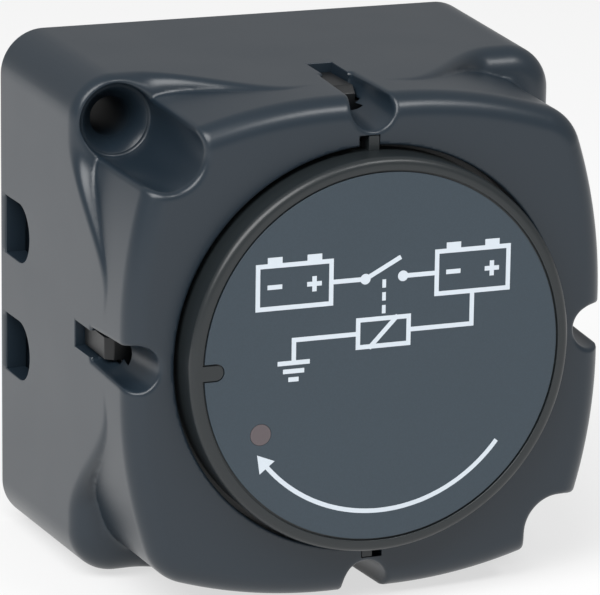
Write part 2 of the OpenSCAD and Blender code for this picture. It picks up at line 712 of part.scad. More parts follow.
// Pan-head screw from the rear, its head's front at depth d
module pan_screw(head_r, shank_r, l, d, x, z) {
    bar(head_r, d - pan_head_t, d, x, z);
    bar(shank_r, d, d + l, x, z);
}
board_screw_l = board_t + post_h + label_recess * 3;
module board_screws() color([0.7, 0.7, 0.72]) for (p = board_screw_places())
    pan_screw(board_head_r, board_shank_r, board_screw_l, board_rear, p[0], p[1]);

// Solenoid
module coil_bobbin() color([0.85, 0.83, 0.75]) difference() {
    union() {
        bar(bobbin_r, yoke_floor, yoke_floor + bobbin_flange_t);
        bar(bobbin_r, yoke_roof - bobbin_flange_t, yoke_roof);
        bar(bobbin_tube_r, yoke_floor, yoke_roof);
    }
    bar(plunger_r + 2 * hole_gap, yoke_floor - cut, yoke_roof + cut);
}
bobbin_tube_r = plunger_r + 2 * hole_gap + bobbin_wall;
module coil_winding() color([0.72, 0.4, 0.2])
    tube(winding_r, bobbin_tube_r, yoke_floor + bobbin_flange_t, yoke_roof - bobbin_flange_t);
module coil_pins() color([0.8, 0.75, 0.6]) for (s = [-1, 1])
    bar(pin_r, yoke_roof, board_front, 0, s * pin_h);
module fixed_core() color([0.6, 0.6, 0.62]) difference() {
    union() {
        bar(plunger_r, yoke_floor, core_front);
        bar(core_spigot_r, yoke_rear, yoke_floor + cut / 2);
    }
    bar(rod_r + slide_gap, yoke_rear - cut, core_front + cut);
    bar(spring_bore_r, spring_rear, core_front + cut);
}
ear_reach_h = ear_screw_h + yoke_head_r;
module yoke_frame() color([0.55, 0.56, 0.58]) difference() {
    union() {
        block(yoke_rear, yoke_floor, -yoke_half_w, yoke_half_w, -yoke_half_h, yoke_half_h);
        block(yoke_rear, yoke_floor, -ear_half_w, ear_half_w, -ear_reach_h, ear_reach_h);
        for (s = [-1, 1])
            block(yoke_rear, yoke_roof, s * (yoke_half_w - yoke_t / 2) - yoke_t / 2,
                s * (yoke_half_w - yoke_t / 2) + yoke_t / 2, -yoke_half_h, yoke_half_h);
    }
    bar(core_spigot_r + hole_gap / 2, yoke_rear - cut, yoke_floor + cut);
    for (s = [-1, 1]) bar(yoke_shank_r + hole_gap, yoke_rear - cut, yoke_floor + cut, 0, s * ear_screw_h);
}
module yoke_plate() color([0.55, 0.56, 0.58]) difference() {
    block(yoke_roof, yoke_front, -yoke_half_w, yoke_half_w, -yoke_half_h, yoke_half_h);
    bar(plunger_r + slide_gap, yoke_roof - cut, yoke_front + cut);
}
module yoke_screws() color([0.7, 0.7, 0.72]) for (s = [-1, 1]) {
    bar(yoke_head_r, yoke_floor, yoke_floor + pan_head_t, 0, s * ear_screw_h);
    bar(yoke_shank_r, yoke_floor - yoke_screw_l, yoke_floor, 0, s * ear_screw_h);
}
module plunger() color([0.65, 0.65, 0.67]) difference() {
    bar(plunger_r, plunger_rear, plunger_front);
    bar(spring_bore_r, plunger_rear - cut, spring_front);
    bar(rod_r, spring_front - cut, plunger_front - rod_tip);
}
rod_tip = clip_t;
rod_rear = bridge_rear - clip_t * 2.8;
clip_rear = bridge_rear - clip_t - touch_gap;
clip_groove_r = rod_r * 0.72;
module push_rod() color([0.75, 0.72, 0.6]) {
    bar(rod_r, rod_rear, clip_rear);
    bar(clip_groove_r, clip_rear - touch_gap, clip_rear + clip_t + touch_gap);
    bar(rod_r, clip_rear + clip_t, plunger_front - rod_tip);
    bar(collar_r, collar_rear, collar_front);
}
module retaining_clip() color([0.5, 0.5, 0.52]) difference() {
    bar(clip_r, clip_rear, clip_rear + clip_t);
    bar(clip_groove_r, clip_rear - cut, clip_rear + clip_t + cut);
    block(clip_rear - cut, clip_rear + clip_t + cut, 0, clip_r + cut, -clip_groove_r, clip_groove_r);
}

// Coil spring as one unbroken tube between two depths
spring_sides = 6;
spring_rings_per_turn = 8;
module coil_spring(from, to, turns) {
    rings = turns * spring_rings_per_turn;
    pitch = (to - from - 2 * spring_wire_r) / turns;
    lead = atan(pitch / (360 * spring_mean_r * PI / 180));
    points = [for (i = [0:rings]) each [for (k = [0:spring_sides - 1])
        let (
            a = 360 * i / spring_rings_per_turn,
            b = 360 * k / spring_sides,
            out = spring_mean_r + spring_wire_r * cos(b),
            up = spring_wire_r * sin(b)
        )
        [out * cos(a) + up * sin(lead) * sin(a),
            -(from + spring_wire_r + pitch * i / spring_rings_per_turn + up * cos(lead)),
            out * sin(a) - up * sin(lead) * cos(a)]]];
    sides = [for (i = [0:rings - 1]) each [for (k = [0:spring_sides - 1])
        let (
            n = (k + 1) % spring_sides,
            a = i * spring_sides + k,
            b = i * spring_sides + n,
            c = a + spring_sides,
            d = b + spring_sides
        )
        each [[a, b, d], [a, d, c]]]];
    polyhedron(points, concat([[for (k = [spring_sides - 1:-1:0]) k]], sides,
        [[for (k = [0:spring_sides - 1]) rings * spring_sides + k]]));
    echo(str("least gap between turns: ", pitch * cos(lead) - 2 * spring_wire_r));
}
module return_spring() color([0.75, 0.76, 0.78]) coil_spring(spring_rear, spring_front, 6);
module contact_spring() color([0.75, 0.76, 0.78]) coil_spring(seat_front, collar_rear, 2);
module spring_seat() color([0.85, 0.83, 0.75])
    tube(spring_mean_r + 4 * spring_wire_r, rod_r + slide_gap, bridge_front, seat_front);

// Contacts
module at_studs() for (a = [0, 180]) turned(a) translate([stud_x, 0, stud_h]) children();
module contact_bridge() color([0.72, 0.45, 0.3]) turned(stud_angle) difference() {
    half_l = stud_pitch / 2 + bridge_reach;
    block(bridge_rear, bridge_front, -half_l, half_l, -bridge_w / 2, bridge_w / 2);
    bar(rod_r + slide_gap, bridge_rear - cut, bridge_front + cut);
}
module moving_contacts() color([0.85, 0.85, 0.86]) at_studs() bar(pad_r, moving_pad_rear, bridge_rear);
module fixed_contacts() color([0.85, 0.85, 0.86]) at_studs() bar(pad_r, head_front, fixed_pad_front);
ear_boss_r = yoke_shank_r * 2.1;
module contact_chamber() color([0.3, 0.3, 0.32]) difference() {
    union() {
        tube(chamber_r, chamber_bore_r, base_front, yoke_rear);
        tube(chamber_r - chamber_wall / 2, ledge_r, yoke_rear - ledge_t, yoke_rear);
        for (s = [-1, 1]) intersection() {
            bar(ear_boss_r, yoke_floor - yoke_screw_l - hole_gap, yoke_rear, 0, s * ear_screw_h);
            bar(chamber_r, base_front, yoke_rear);
        }
    }
    for (s = [-1, 1]) bar(yoke_shank_r + hole_gap / 2, yoke_floor - yoke_screw_l - cut, yoke_rear + cut,
        0, s * ear_screw_h);
    for (a = strip_angles) turned(a)
        block(yoke_rear - ledge_t - cut, yoke_rear + cut, ledge_r - cut, chamber_bore_r,
            -strip_w / 2 - 2 * hole_gap, strip_w / 2 + 2 * hole_gap);
}

// Terminals
stud_chamfer = stud_r / 8;
module stud() color([0.78, 0.7, 0.45]) rotate([90, 0, 0]) rotate_extrude() polygon([
    [0, stud_end_depth], [stud_r - stud_chamfer, stud_end_depth],
    [stud_r, stud_end_depth + stud_chamfer], [stud_r, base_front],
    [stud_head_r, base_front], [stud_head_r, head_front], [0, head_front]]);
module stud_upper() translate([stud_x, 0, stud_h]) stud();
module stud_lower() translate([-stud_x, 0, -stud_h]) stud();
washer_rear = base_depth - washer_t;
spring_washer_rear = washer_rear - spring_washer_t;
nut_rear = spring_washer_rear - nut_t;
module stud_washers() color([0.78, 0.78, 0.8]) at_studs()
    tube(washer_r, stud_r + 2 * hole_gap, washer_rear, base_depth);
module spring_washers() color([0.6, 0.6, 0.62]) at_studs() difference() {
    tube(spring_washer_r, stud_r + 2 * hole_gap, spring_washer_rear, washer_rear);
    block(spring_washer_rear - cut, washer_rear + cut, 0, spring_washer_r + cut,
        -spring_washer_split / 2, spring_washer_split / 2);
}
module stud_nuts() color([0.8, 0.72, 0.45]) at_studs() difference() {
    slab(nut_rear, spring_washer_rear) circle(nut_af / 2 / cos(30), $fn = 6);
    bar(stud_r + hole_gap / 2, nut_rear - cut, spring_washer_rear + cut);
}
module ground_blade() color([0.78, 0.7, 0.45]) turned(blade_angle) {
    block(blade_end_depth, base_depth, strip_r - blade_t, strip_r, -blade_w / 2, blade_w / 2);
    block(base_depth - strip_t, board_front, strip_r - blade_t, strip_r, -strip_w / 2, strip_w / 2);
}
foot_r = stud_pitch / 2 + pad_r + hole_gap;
module sense_strips() color([0.78, 0.7, 0.45]) for (a = [0, 180]) turned(stud_angle + a) {
    block(head_front, board_front, strip_r - strip_t, strip_r, -strip_w / 2, strip_w / 2);
    block(head_front, head_front + strip_t, foot_r, strip_r, -strip_w / 2, strip_w / 2);
}

// Terminal base
function base_screw_places() = [for (a = [45, 135, 225, 315]) base_screw_ring_r * [cos(a), sin(a)]];
module terminal_base() color([0.3, 0.3, 0.32]) difference() {
    union() {
        slab(base_depth, base_front) intersection() {
            square(2 * base_half_w, center = true);
            circle(base_corner_r);
        }
        block(divider_end_depth, base_depth, -base_half_w, base_half_w, -divider_t / 2, divider_t / 2);
    }
    at_studs() bar(stud_r + hole_gap / 2, base_depth - cut, base_front + cut);
    for (p = base_screw_places())
        bar(base_pilot_r + hole_gap, base_depth - cut, base_front + cut, p[0], p[1]);
    turned(blade_angle) block(base_depth - cut, base_front + cut, strip_r - blade_t - hole_gap / 2,
        strip_r + hole_gap / 2, -strip_w / 2 - hole_gap / 2, strip_w / 2 + hole_gap / 2);
    latch_notch(base_depth - cut, base_front + cut);
    for (a = side_turns) turned(a)
        translate([-notch_half_w - hinge_pin_l, -hinge_depth, hinge_h]) rotate([0, 90, 0])
            cylinder(h = 2 * (notch_half_w + hinge_pin_l), r = hinge_pin_r + hinge_gap);
}
module base_gasket() color([0.1, 0.1, 0.1])
    tube(barrel_r + base_shank_r / 2, barrel_bore_r, base_front, flange_depth);
module base_screws() color([0.7, 0.7, 0.72]) for (p = base_screw_places())
    pan_screw(base_head_r, base_shank_r, base_t + gasket_t + rear_flange_t, base_depth, p[0], p[1]);

// Latches, made at the top
catch_rear = slot_rear_depth + catch_gap;
catch_w = slot_w - 2 * catch_gap;
catch_chamfer = (catch_h - latch_h) / 2;
module latch() {
    latch_rear = base_depth + notch_gap;
    block(latch_rear, catch_front_depth, -latch_w / 2, latch_w / 2, latch_h - latch_t, latch_h);
    translate([-catch_w / 2, 0, 0]) rotate([90, 0, 90]) linear_extrude(catch_w) polygon([
        [-catch_rear, latch_h - latch_t / 2], [-catch_rear, catch_h],
        [-catch_front_depth + catch_chamfer, catch_h],
        [-catch_front_depth, catch_h - catch_chamfer], [-catch_front_depth, latch_h - latch_t / 2]]);
    translate([-latch_w / 2 - hinge_pin_l, -hinge_depth, hinge_h]) rotate([0, 90, 0])
        cylinder(h = latch_w + 2 * hinge_pin_l, r = hinge_pin_r);
}
module latch_top() color([0.16, 0.17, 0.18]) latch();
module latch_left() color([0.16, 0.17, 0.18]) turned(90) latch();
module latch_bottom() color([0.16, 0.17, 0.18]) turned(180) latch();
module latch_right() color([0.16, 0.17, 0.18]) turned(270) latch();

// Rear cover: fills the housing's rim, and leaves room for the two screw columns
module cover_outline(gap) difference() {
    round_square(half_at(0) - cover_rim - gap, body_corner_r - cover_rim - gap);
    for (c = screw_corners) translate([c[0] * screw_at, c[1] * screw_at]) circle(column_r + gap);
}
cover_head_t = cover_head_r - cover_shank_r;
module cover_screw(c, gap) translate([c[0] * screw_at, -cover_inset, c[1] * screw_at]) {
    cone(cover_head_r + gap, cover_shank_r + gap, 0, cover_head_t);
    bar(cover_shank_r + gap, 0, cover_screw_l - cover_inset);
}
module rear_cover() color([0.2, 0.21, 0.22]) difference() {
    slab(cover_inset, cover_t + cover_inset) cover_outline(cover_gap);
    for (c = cover_corners) {
        cover_screw(c, hole_gap / 2);
        bar(cover_head_r + hole_gap / 2, -cut, cover_inset, c[0] * screw_at, c[1] * screw_at);
    }
}
module cover_screws() color([0.7, 0.7, 0.72]) for (c = cover_corners) cover_screw(c, 0);

housing();
relay_drum();
label_disc();
light_pipe();
circuit_board();
indicator_lamp();
controller_chip();
driver_transistor();
capacitors();
resistors();
board_screws();
coil_bobbin();
coil_winding();
coil_pins();
fixed_core();
yoke_frame();
yoke_plate();
yoke_screws();
plunger();
push_rod();
retaining_clip();
return_spring();
contact_spring();
spring_seat();
contact_bridge();
moving_contacts();
fixed_contacts();
contact_chamber();
stud_upper();
stud_lower();
stud_washers();
spring_washers();
stud_nuts();
ground_blade();
sense_strips();
terminal_base();
base_gasket();
base_screws();
latch_top();
latch_right();
latch_bottom();
latch_left();
rear_cover();
cover_screws();
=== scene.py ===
import json
import math

import bpy
import numpy as np
from mathutils import Matrix, Quaternion, Vector


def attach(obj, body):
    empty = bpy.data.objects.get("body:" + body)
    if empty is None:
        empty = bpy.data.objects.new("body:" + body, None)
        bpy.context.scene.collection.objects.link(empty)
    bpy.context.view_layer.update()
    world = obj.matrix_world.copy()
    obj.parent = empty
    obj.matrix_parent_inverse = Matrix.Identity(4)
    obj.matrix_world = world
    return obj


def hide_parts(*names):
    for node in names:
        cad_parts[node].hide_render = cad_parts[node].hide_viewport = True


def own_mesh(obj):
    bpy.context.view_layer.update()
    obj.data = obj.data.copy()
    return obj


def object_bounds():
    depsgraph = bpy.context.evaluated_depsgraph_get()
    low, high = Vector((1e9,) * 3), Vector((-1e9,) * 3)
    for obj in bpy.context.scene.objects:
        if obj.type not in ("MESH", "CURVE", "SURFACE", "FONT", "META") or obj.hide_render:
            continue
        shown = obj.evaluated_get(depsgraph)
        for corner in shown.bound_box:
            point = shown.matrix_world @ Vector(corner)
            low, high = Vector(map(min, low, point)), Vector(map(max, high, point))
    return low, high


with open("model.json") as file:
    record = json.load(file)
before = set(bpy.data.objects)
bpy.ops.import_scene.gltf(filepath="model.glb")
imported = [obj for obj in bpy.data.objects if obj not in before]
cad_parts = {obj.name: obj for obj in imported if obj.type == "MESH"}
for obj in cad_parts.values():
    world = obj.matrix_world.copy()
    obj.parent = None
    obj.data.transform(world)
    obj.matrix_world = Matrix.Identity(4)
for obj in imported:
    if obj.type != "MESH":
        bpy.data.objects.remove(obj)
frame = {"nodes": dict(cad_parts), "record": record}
cad_lo, cad_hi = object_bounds()
bpy.ops.object.select_all(action="DESELECT")
scene = bpy.context.scene
MM = 0.001


# Materials

def socket(group, name, kind, into=True, value=None):
    made = group.interface.new_socket(name=name, in_out="INPUT" if into else "OUTPUT", socket_type=kind)
    if value is not None:
        made.default_value = value
    return made


def node(tree, kind, place, **settings):
    made = tree.nodes.new(kind)
    made.location = place
    for key, value in settings.items():
        setattr(made, key, value)
    return made


def moulded_finish_group():
    """Colour, roughness and surface height of a moulded or machined surface."""
    group = bpy.data.node_groups.new("moulded_finish", "ShaderNodeTree")
    socket(group, "Colour", "NodeSocketColor", value=(0.5, 0.5, 0.5, 1))
    socket(group, "Colour Spread", "NodeSocketFloat", value=0.05)
    socket(group, "Cloud Scale", "NodeSocketFloat", value=60)
    socket(group, "Grain Scale", "NodeSocketFloat", value=4000)
    socket(group, "Grain Colour", "NodeSocketFloat", value=0.02)
    socket(group, "Roughness", "NodeSocketFloat", value=0.45)
    socket(group, "Roughness Spread", "NodeSocketFloat", value=0.05)
    socket(group, "Colour", "NodeSocketColor", into=False)
    socket(group, "Roughness", "NodeSocketFloat", into=False)
    socket(group, "Height", "NodeSocketFloat", into=False)
    link = group.links.new
    given = node(group, "NodeGroupInput", (-900, 0))
    result = node(group, "NodeGroupOutput", (700, 0))
    coords = node(group, "ShaderNodeTexCoord", (-900, 300))
    cloud = node(group, "ShaderNodeTexNoise", (-650, 300))
    cloud.inputs["Detail"].default_value = 3
    grain = node(group, "ShaderNodeTexNoise", (-650, 0))
    grain.inputs["Detail"].default_value = 2
    grain.inputs["Roughness"].default_value = 0.6
    for tex, scale in ((cloud, "Cloud Scale"), (grain, "Grain Scale")):
        link(coords.outputs["Object"], tex.inputs["Vector"])
        link(given.outputs[scale], tex.inputs["Scale"])

    def centred(factor, amount, place, start):
        """start + (factor - 0.5) * 2 * amount"""
        half = node(group, "ShaderNodeMath", place, operation="MULTIPLY_ADD")
        link(factor, half.inputs[0])
        half.inputs[1].default_value = 2
        half.inputs[2].default_value = -1
        out = node(group, "ShaderNodeMath", (place[0] + 180, place[1]), operation="MULTIPLY_ADD")
        link(half.outputs[0], out.inputs[0])
        link(amount, out.inputs[1])
        if isinstance(start, (int, float)):
            out.inputs[2].default_value = start
        else:
            link(start, out.inputs[2])
        return out.outputs[0]

    shade = centred(cloud.outputs["Fac"], given.outputs["Colour Spread"], (-400, 300), 1.0)
    shade = centred(grain.outputs["Fac"], given.outputs["Grain Colour"], (-100, 300), shade)
    tint = node(group, "ShaderNodeMix", (300, 300), data_type="RGBA", blend_type="MULTIPLY")
    tint.inputs["Factor"].default_value = 1
    link(given.outputs["Colour"], tint.inputs[6])
    link(shade, tint.inputs[7])
    link(tint.outputs[2], result.inputs["Colour"])
    rough = centred(cloud.outputs["Fac"], given.outputs["Roughness Spread"], (-400, 0),
                    given.outputs["Roughness"])
    link(rough, result.inputs["Roughness"])
    link(grain.outputs["Fac"], result.inputs["Height"])
    return group


moulded_finish = moulded_finish_group()


PLASTIC_IOR = 1.5
CLOUD_SCALE, CLOUD_COLOUR, CLOUD_ROUGHNESS = 60, 0.04, 0.04
MICRON = 0.000001


def finish_of(name, colour, rough=0.45, grain=4000, grain_colour=0.02, microns=10, metallic=0.0):
    """Material with faint clouds in its colour and gloss, and with a fine grain some microns high"""
    made = bpy.data.materials.new(name)
    made.use_nodes = True
    tree = made.node_tree
    shader = tree.nodes["Principled BSDF"]
    shader.inputs["Metallic"].default_value = metallic
    shader.inputs["IOR"].default_value = PLASTIC_IOR
    group = node(tree, "ShaderNodeGroup", (-500, 200), node_tree=moulded_finish)
    for key, value in (("Colour", (*colour, 1)), ("Colour Spread", CLOUD_COLOUR),
                       ("Cloud Scale", CLOUD_SCALE), ("Grain Scale", grain), ("Grain Colour", grain_colour),
                       ("Roughness", rough), ("Roughness Spread", CLOUD_ROUGHNESS)):
        group.inputs[key].default_value = value
    tree.links.new(group.outputs["Colour"], shader.inputs["Base Color"])
    tree.links.new(group.outputs["Roughness"], shader.inputs["Roughness"])
    relief = node(tree, "ShaderNodeBump", (-250, -200))
    relief.inputs["Strength"].default_value = 1
    relief.inputs["Distance"].default_value = microns * MICRON
    tree.links.new(group.outputs["Height"], relief.inputs["Height"])
    tree.links.new(relief.outputs["Normal"], shader.inputs["Normal"])
    return made


looks = {
    "housing_plastic": dict(colour=(0.013, 0.022, 0.032), rough=0.31, grain=9000, microns=3),
    "drum_plastic": dict(colour=(0.014, 0.018, 0.02), rough=0.34, grain=9000, microns=3),
    "label_film": dict(colour=(0.032, 0.049, 0.065), rough=0.55, grain=5200, grain_colour=0.16, microns=4),
    "label_print": dict(colour=(0.60, 0.66, 0.72), rough=0.5, grain=5200, grain_colour=0.03, microns=2),
    "window_plastic": dict(colour=(0.10, 0.082, 0.088), rough=0.5, grain=5200, grain_colour=0.1),
    # The latches' finish is the drum plastic painted much darker: painted shade for where they sit deep in
    # the housing's slots.
    "latch_plastic_painted_shade": dict(colour=(0.004, 0.005, 0.006), rough=0.4, grain=9000, microns=3),
    "base_plastic": dict(colour=(0.02, 0.021, 0.023), rough=0.55, grain=6000, microns=8),
    "board_laminate": dict(colour=(0.02, 0.16, 0.06), rough=0.35),
    "lamp_plastic": dict(colour=(0.8, 0.75, 0.7), rough=0.15),
    "component_plastic": dict(colour=(0.02, 0.02, 0.022), grain=7000),
    "capacitor_sleeve": dict(colour=(0.03, 0.035, 0.1), rough=0.25),
    "bobbin_plastic": dict(colour=(0.65, 0.62, 0.52)),
    "copper": dict(colour=(0.72, 0.36, 0.2), rough=0.3, grain=3000, grain_colour=0.05, metallic=1.0),
    "silver": dict(colour=(0.85, 0.84, 0.8), rough=0.3, metallic=1.0),
    "brass": dict(colour=(0.72, 0.53, 0.25), rough=0.28, grain=3000, grain_colour=0.04, metallic=1.0),
    "magnet_iron": dict(colour=(0.55, 0.56, 0.58), rough=0.38, grain=2500, metallic=1.0),
    "screw_steel": dict(colour=(0.66, 0.67, 0.69), rough=0.3, grain=2500, metallic=1.0),
    "spring_steel": dict(colour=(0.7, 0.7, 0.72), rough=0.22, grain=3000, metallic=1.0),
    "gasket_rubber": dict(colour=(0.015, 0.015, 0.015), rough=0.75, grain=5000),
}
finishes = {name: finish_of(name, **look) for name, look in looks.items()}

for part in frame["record"]["subparts"]:
    piece = frame["nodes"][part["node"]]
    piece.data.materials.clear()
    piece.data.materials.append(finishes[part["material_slot"]])


# Modelling by hand
# Pieces are modelled in millimetres, with depth measured forward (towards -Y) from the wall, and are
# brought to metres when they are done.

CRISP_ANGLE = 35.0


def only(piece):
    bpy.ops.object.select_all(action="DESELECT")
    piece.select_set(True)
    bpy.context.view_layer.objects.active = piece
    return piece


def applied(piece):
    only(piece)
    bpy.ops.object.transform_apply(location=True, rotation=True, scale=True)
    return piece


def fresh():
    return applied(bpy.context.active_object)


def bar(r, start, end, x=0.0, z=0.0, sides=64):
    """Round bar along the depth"""
    bpy.ops.mesh.primitive_cone_add(vertices=sides, radius1=r, radius2=r, depth=end - start,
                                    location=(x, -(start + end) / 2, z), rotation=(math.pi / 2, 0, 0))
    return fresh()


def block(x0, x1, start, end, z0, z1, corner=0.0, steps=8):
    """Block by its limits, with its edges along the depth rounded"""
    bpy.ops.mesh.primitive_cube_add(size=1, location=((x0 + x1) / 2, -(start + end) / 2, (z0 + z1) / 2))
    piece = bpy.context.active_object
    piece.scale = (x1 - x0, end - start, z1 - z0)
    fresh()
    if corner:
        pick_edges(piece, lambda a, b: abs(a.x - b.x) < 1e-4 and abs(a.z - b.z) < 1e-4)
        bpy.ops.mesh.bevel(offset=corner, segments=steps, profile=0.5, affect="EDGES")
        bpy.ops.object.mode_set(mode="OBJECT")
    return piece


def pick_edges(piece, wanted):
    """Opens the piece in edit mode with only the wanted edges selected"""
    only(piece)
    bpy.ops.object.mode_set(mode="EDIT")
    bpy.ops.mesh.select_mode(type="EDGE")
    bpy.ops.mesh.select_all(action="DESELECT")
    bpy.ops.object.mode_set(mode="OBJECT")
    points = piece.data.vertices
    for edge in piece.data.edges:
        edge.select = wanted(points[edge.vertices[0]].co, points[edge.vertices[1]].co)
    bpy.ops.object.mode_set(mode="EDIT")


def turned_solid(profile, sides=96, x=0.0, z=0.0):
    """Solid of revolution: a disc that is extruded and scaled from one (radius, depth) to the next"""
    r, d = profile[0]
    bpy.ops.mesh.primitive_circle_add(vertices=sides, radius=r, fill_type="NGON", location=(x, -d, z),
                                      rotation=(math.pi / 2, 0, 0))
    piece = fresh()
    bpy.ops.object.mode_set(mode="EDIT")
    bpy.ops.mesh.select_mode(type="FACE")
    bpy.ops.mesh.select_all(action="SELECT")
    for r_next, d_next in profile[1:]:
        bpy.ops.mesh.extrude_region_move(TRANSFORM_OT_translate={"value": (0, d - d_next, 0)})
        share = r_next / r
        bpy.ops.transform.resize(value=(share, 1, share))
        r, d = r_next, d_next
    bpy.ops.mesh.select_all(action="SELECT")
    bpy.ops.mesh.normals_make_consistent(inside=False)
    bpy.ops.object.mode_set(mode="OBJECT")
    return piece


def quarter_arc(r, d, size, first, last, steps=6):
    """Points of an arc about (r, d) between two angles: 0 is along the radius, 90 to the front"""
    turns = [math.radians(first + (last - first) * i / steps) for i in range(steps + 1)]
    return [(r + size * math.cos(t), d + size * math.sin(t)) for t in turns]


def turn_about_axis(piece, quarter_turns):
    piece.rotation_euler = (0, -quarter_turns * math.pi / 2, 0)
    only(piece)
    bpy.ops.object.transform_apply(location=False, rotation=True, scale=False)
    return piece


def change(piece, tools, operation="DIFFERENCE"):
    """Cuts the tools from the piece, or joins them to it, and clears them away"""
    kit = bpy.data.collections.new("kit")
    for tool in tools:
        kit.objects.link(tool)
    only(piece)
    cut = piece.modifiers.new("cut", "BOOLEAN")
    cut.operation, cut.operand_type, cut.collection, cut.solver = operation, "COLLECTION", kit, "EXACT"
    bpy.ops.object.modifier_apply(modifier=cut.name)
    for tool in tools:
        bpy.data.objects.remove(tool)
    bpy.data.collections.remove(kit)
    return piece


def soften(piece, width, steps=3):
    """Small rounding on every crisp edge"""
    only(piece)
    bevel = piece.modifiers.new("soften", "BEVEL")
    bevel.width, bevel.segments, bevel.limit_method = width, steps, "ANGLE"
    bevel.angle_limit = math.radians(CRISP_ANGLE)
    bpy.ops.object.modifier_apply(modifier=bevel.name)
    return piece


def done(piece, name, body, slot_name, stands_for=(), finish=None, smooth=CRISP_ANGLE):
    """Names the piece, brings it to metres, dresses it and gives it its body"""
    piece.name = piece.data.name = name
    piece.scale = (MM, MM, MM)
    applied(piece)
    bpy.ops.object.shade_smooth_by_angle(angle=math.radians(smooth))
    weighted = piece.modifiers.new("weighted", "WEIGHTED_NORMAL")
    weighted.keep_sharp = True
    bpy.ops.object.modifier_apply(modifier=weighted.name)
    piece.data.materials.clear()
    piece.data.materials.append(finishes[finish or slot_name])
    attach(piece, body)
    if stands_for:
        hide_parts(*stands_for)
    bpy.ops.object.select_all(action="DESELECT")
    return piece


# Housing
# The housing's skin blends ramps, bowed walls, channels and scoops with soft edges, which no operator
# gives. So its rounded surface is worked out as a distance, and a voxel copy is drawn onto it.

DRAFT = math.tan(math.radians(1.5))
BODY_HALF, CORNER_R, PLATE, EDGE_R = 34.5, 6.0, 48.3, 3.0
FRONT_HALF = BODY_HALF - PLATE * DRAFT
SIDE_R, BLOCK_CORNER_R, SIDE_FLAT = 67.0, 7.1, 8.0
SHOULDER, ROLL_R, ROLL_LEAST_TURN, RAMP_TOP, RAMP_FROM, RAMP_TO = 29.7, 3.5, 14, 43.0, 7.5, 25.5
VALLEY_R = 0.9
VALLEY_SINK = VALLEY_R / 6
BEHIND_WALL, BEFORE_PLATE = -4.0, 60.0
CHANNEL_R, SCREW_AT, CHANNEL_FLOOR, CHANNEL_EDGE, CHANNEL_FLOOR_EDGE = 4.9, 27.7, 27.2, 0.9, 0.4
SCOOP_H, SCOOP_REAR_H, SCOOP_L, SCOOP_R, SCOOP_REAR_R = 31.9, 33.0, 13.8, 3.05, 2.2
SCOOP_EDGE, SCOOP_END_EDGE, SCOOP_OVER = 0.5, 0.5, 6.0
SCOOP_TILT = math.atan((SCOOP_REAR_H - SCOOP_H) / SCOOP_L)
SCOOP_TAPER = (SCOOP_R - SCOOP_REAR_R) / SCOOP_L
JOIN_DEPTH = 22.0
SCREW_SPOTS = ((-SCREW_AT, SCREW_AT), (SCREW_AT, -SCREW_AT))
COVER_SPOTS = ((SCREW_AT, SCREW_AT), (-SCREW_AT, -SCREW_AT))
SKIN_STEPS, SKIN_TURNS = 16, 1500
ROUGH_STEPS, ROUGH_TURNS = 8, 240
CLOSE = 1e-3

SIDE_X, SIDE_Z = FRONT_HALF - SIDE_R, SIDE_FLAT / 2
corner_sum = SIDE_X + SIDE_Z
corner_rest = SIDE_X ** 2 + SIDE_Z ** 2 - (SIDE_R - BLOCK_CORNER_R) ** 2
CORNER_AT = (corner_sum + math.sqrt(corner_sum ** 2 - 2 * corner_rest)) / 2
side_share = SIDE_R / (SIDE_R - BLOCK_CORNER_R)
TOUCH = math.atan2(SIDE_Z + (CORNER_AT - SIDE_Z) * side_share, SIDE_X + (CORNER_AT - SIDE_X) * side_share)


def half_at(depth):
    return BODY_HALF - depth * DRAFT


def folded(a):
    """Angles folded into the first eighth of a turn, where the outline repeats"""
    m = np.mod(a, math.pi / 2)
    return np.minimum(m, math.pi / 2 - m)


def to_circle(a, x, z, r):
    """Distance from the axis, along angle a, to the far side of a circle"""
    along = x * np.cos(a) + z * np.sin(a)
    return along + np.sqrt(np.maximum(along * along - x * x - z * z + r * r, 0))


def square_reach(a, half, r):
    """Reach of a rounded square"""
    k = half - r
    return np.where(a < np.arctan(k / half), half / np.cos(a), to_circle(a, k, k, r))


def block_at(a, depth, drawn_in=0.0):
    """Reach of the bowed front block at a depth"""
    g = half_at(depth) - FRONT_HALF - drawn_in
    flat = np.arctan2(SIDE_Z, FRONT_HALF + g)
    bowed = np.where(a < TOUCH, to_circle(a, SIDE_X, SIDE_Z, SIDE_R + g),
                     to_circle(a, CORNER_AT, CORNER_AT, BLOCK_CORNER_R + g))
    return np.where(a < flat, (FRONT_HALF + g) / np.cos(a), bowed)


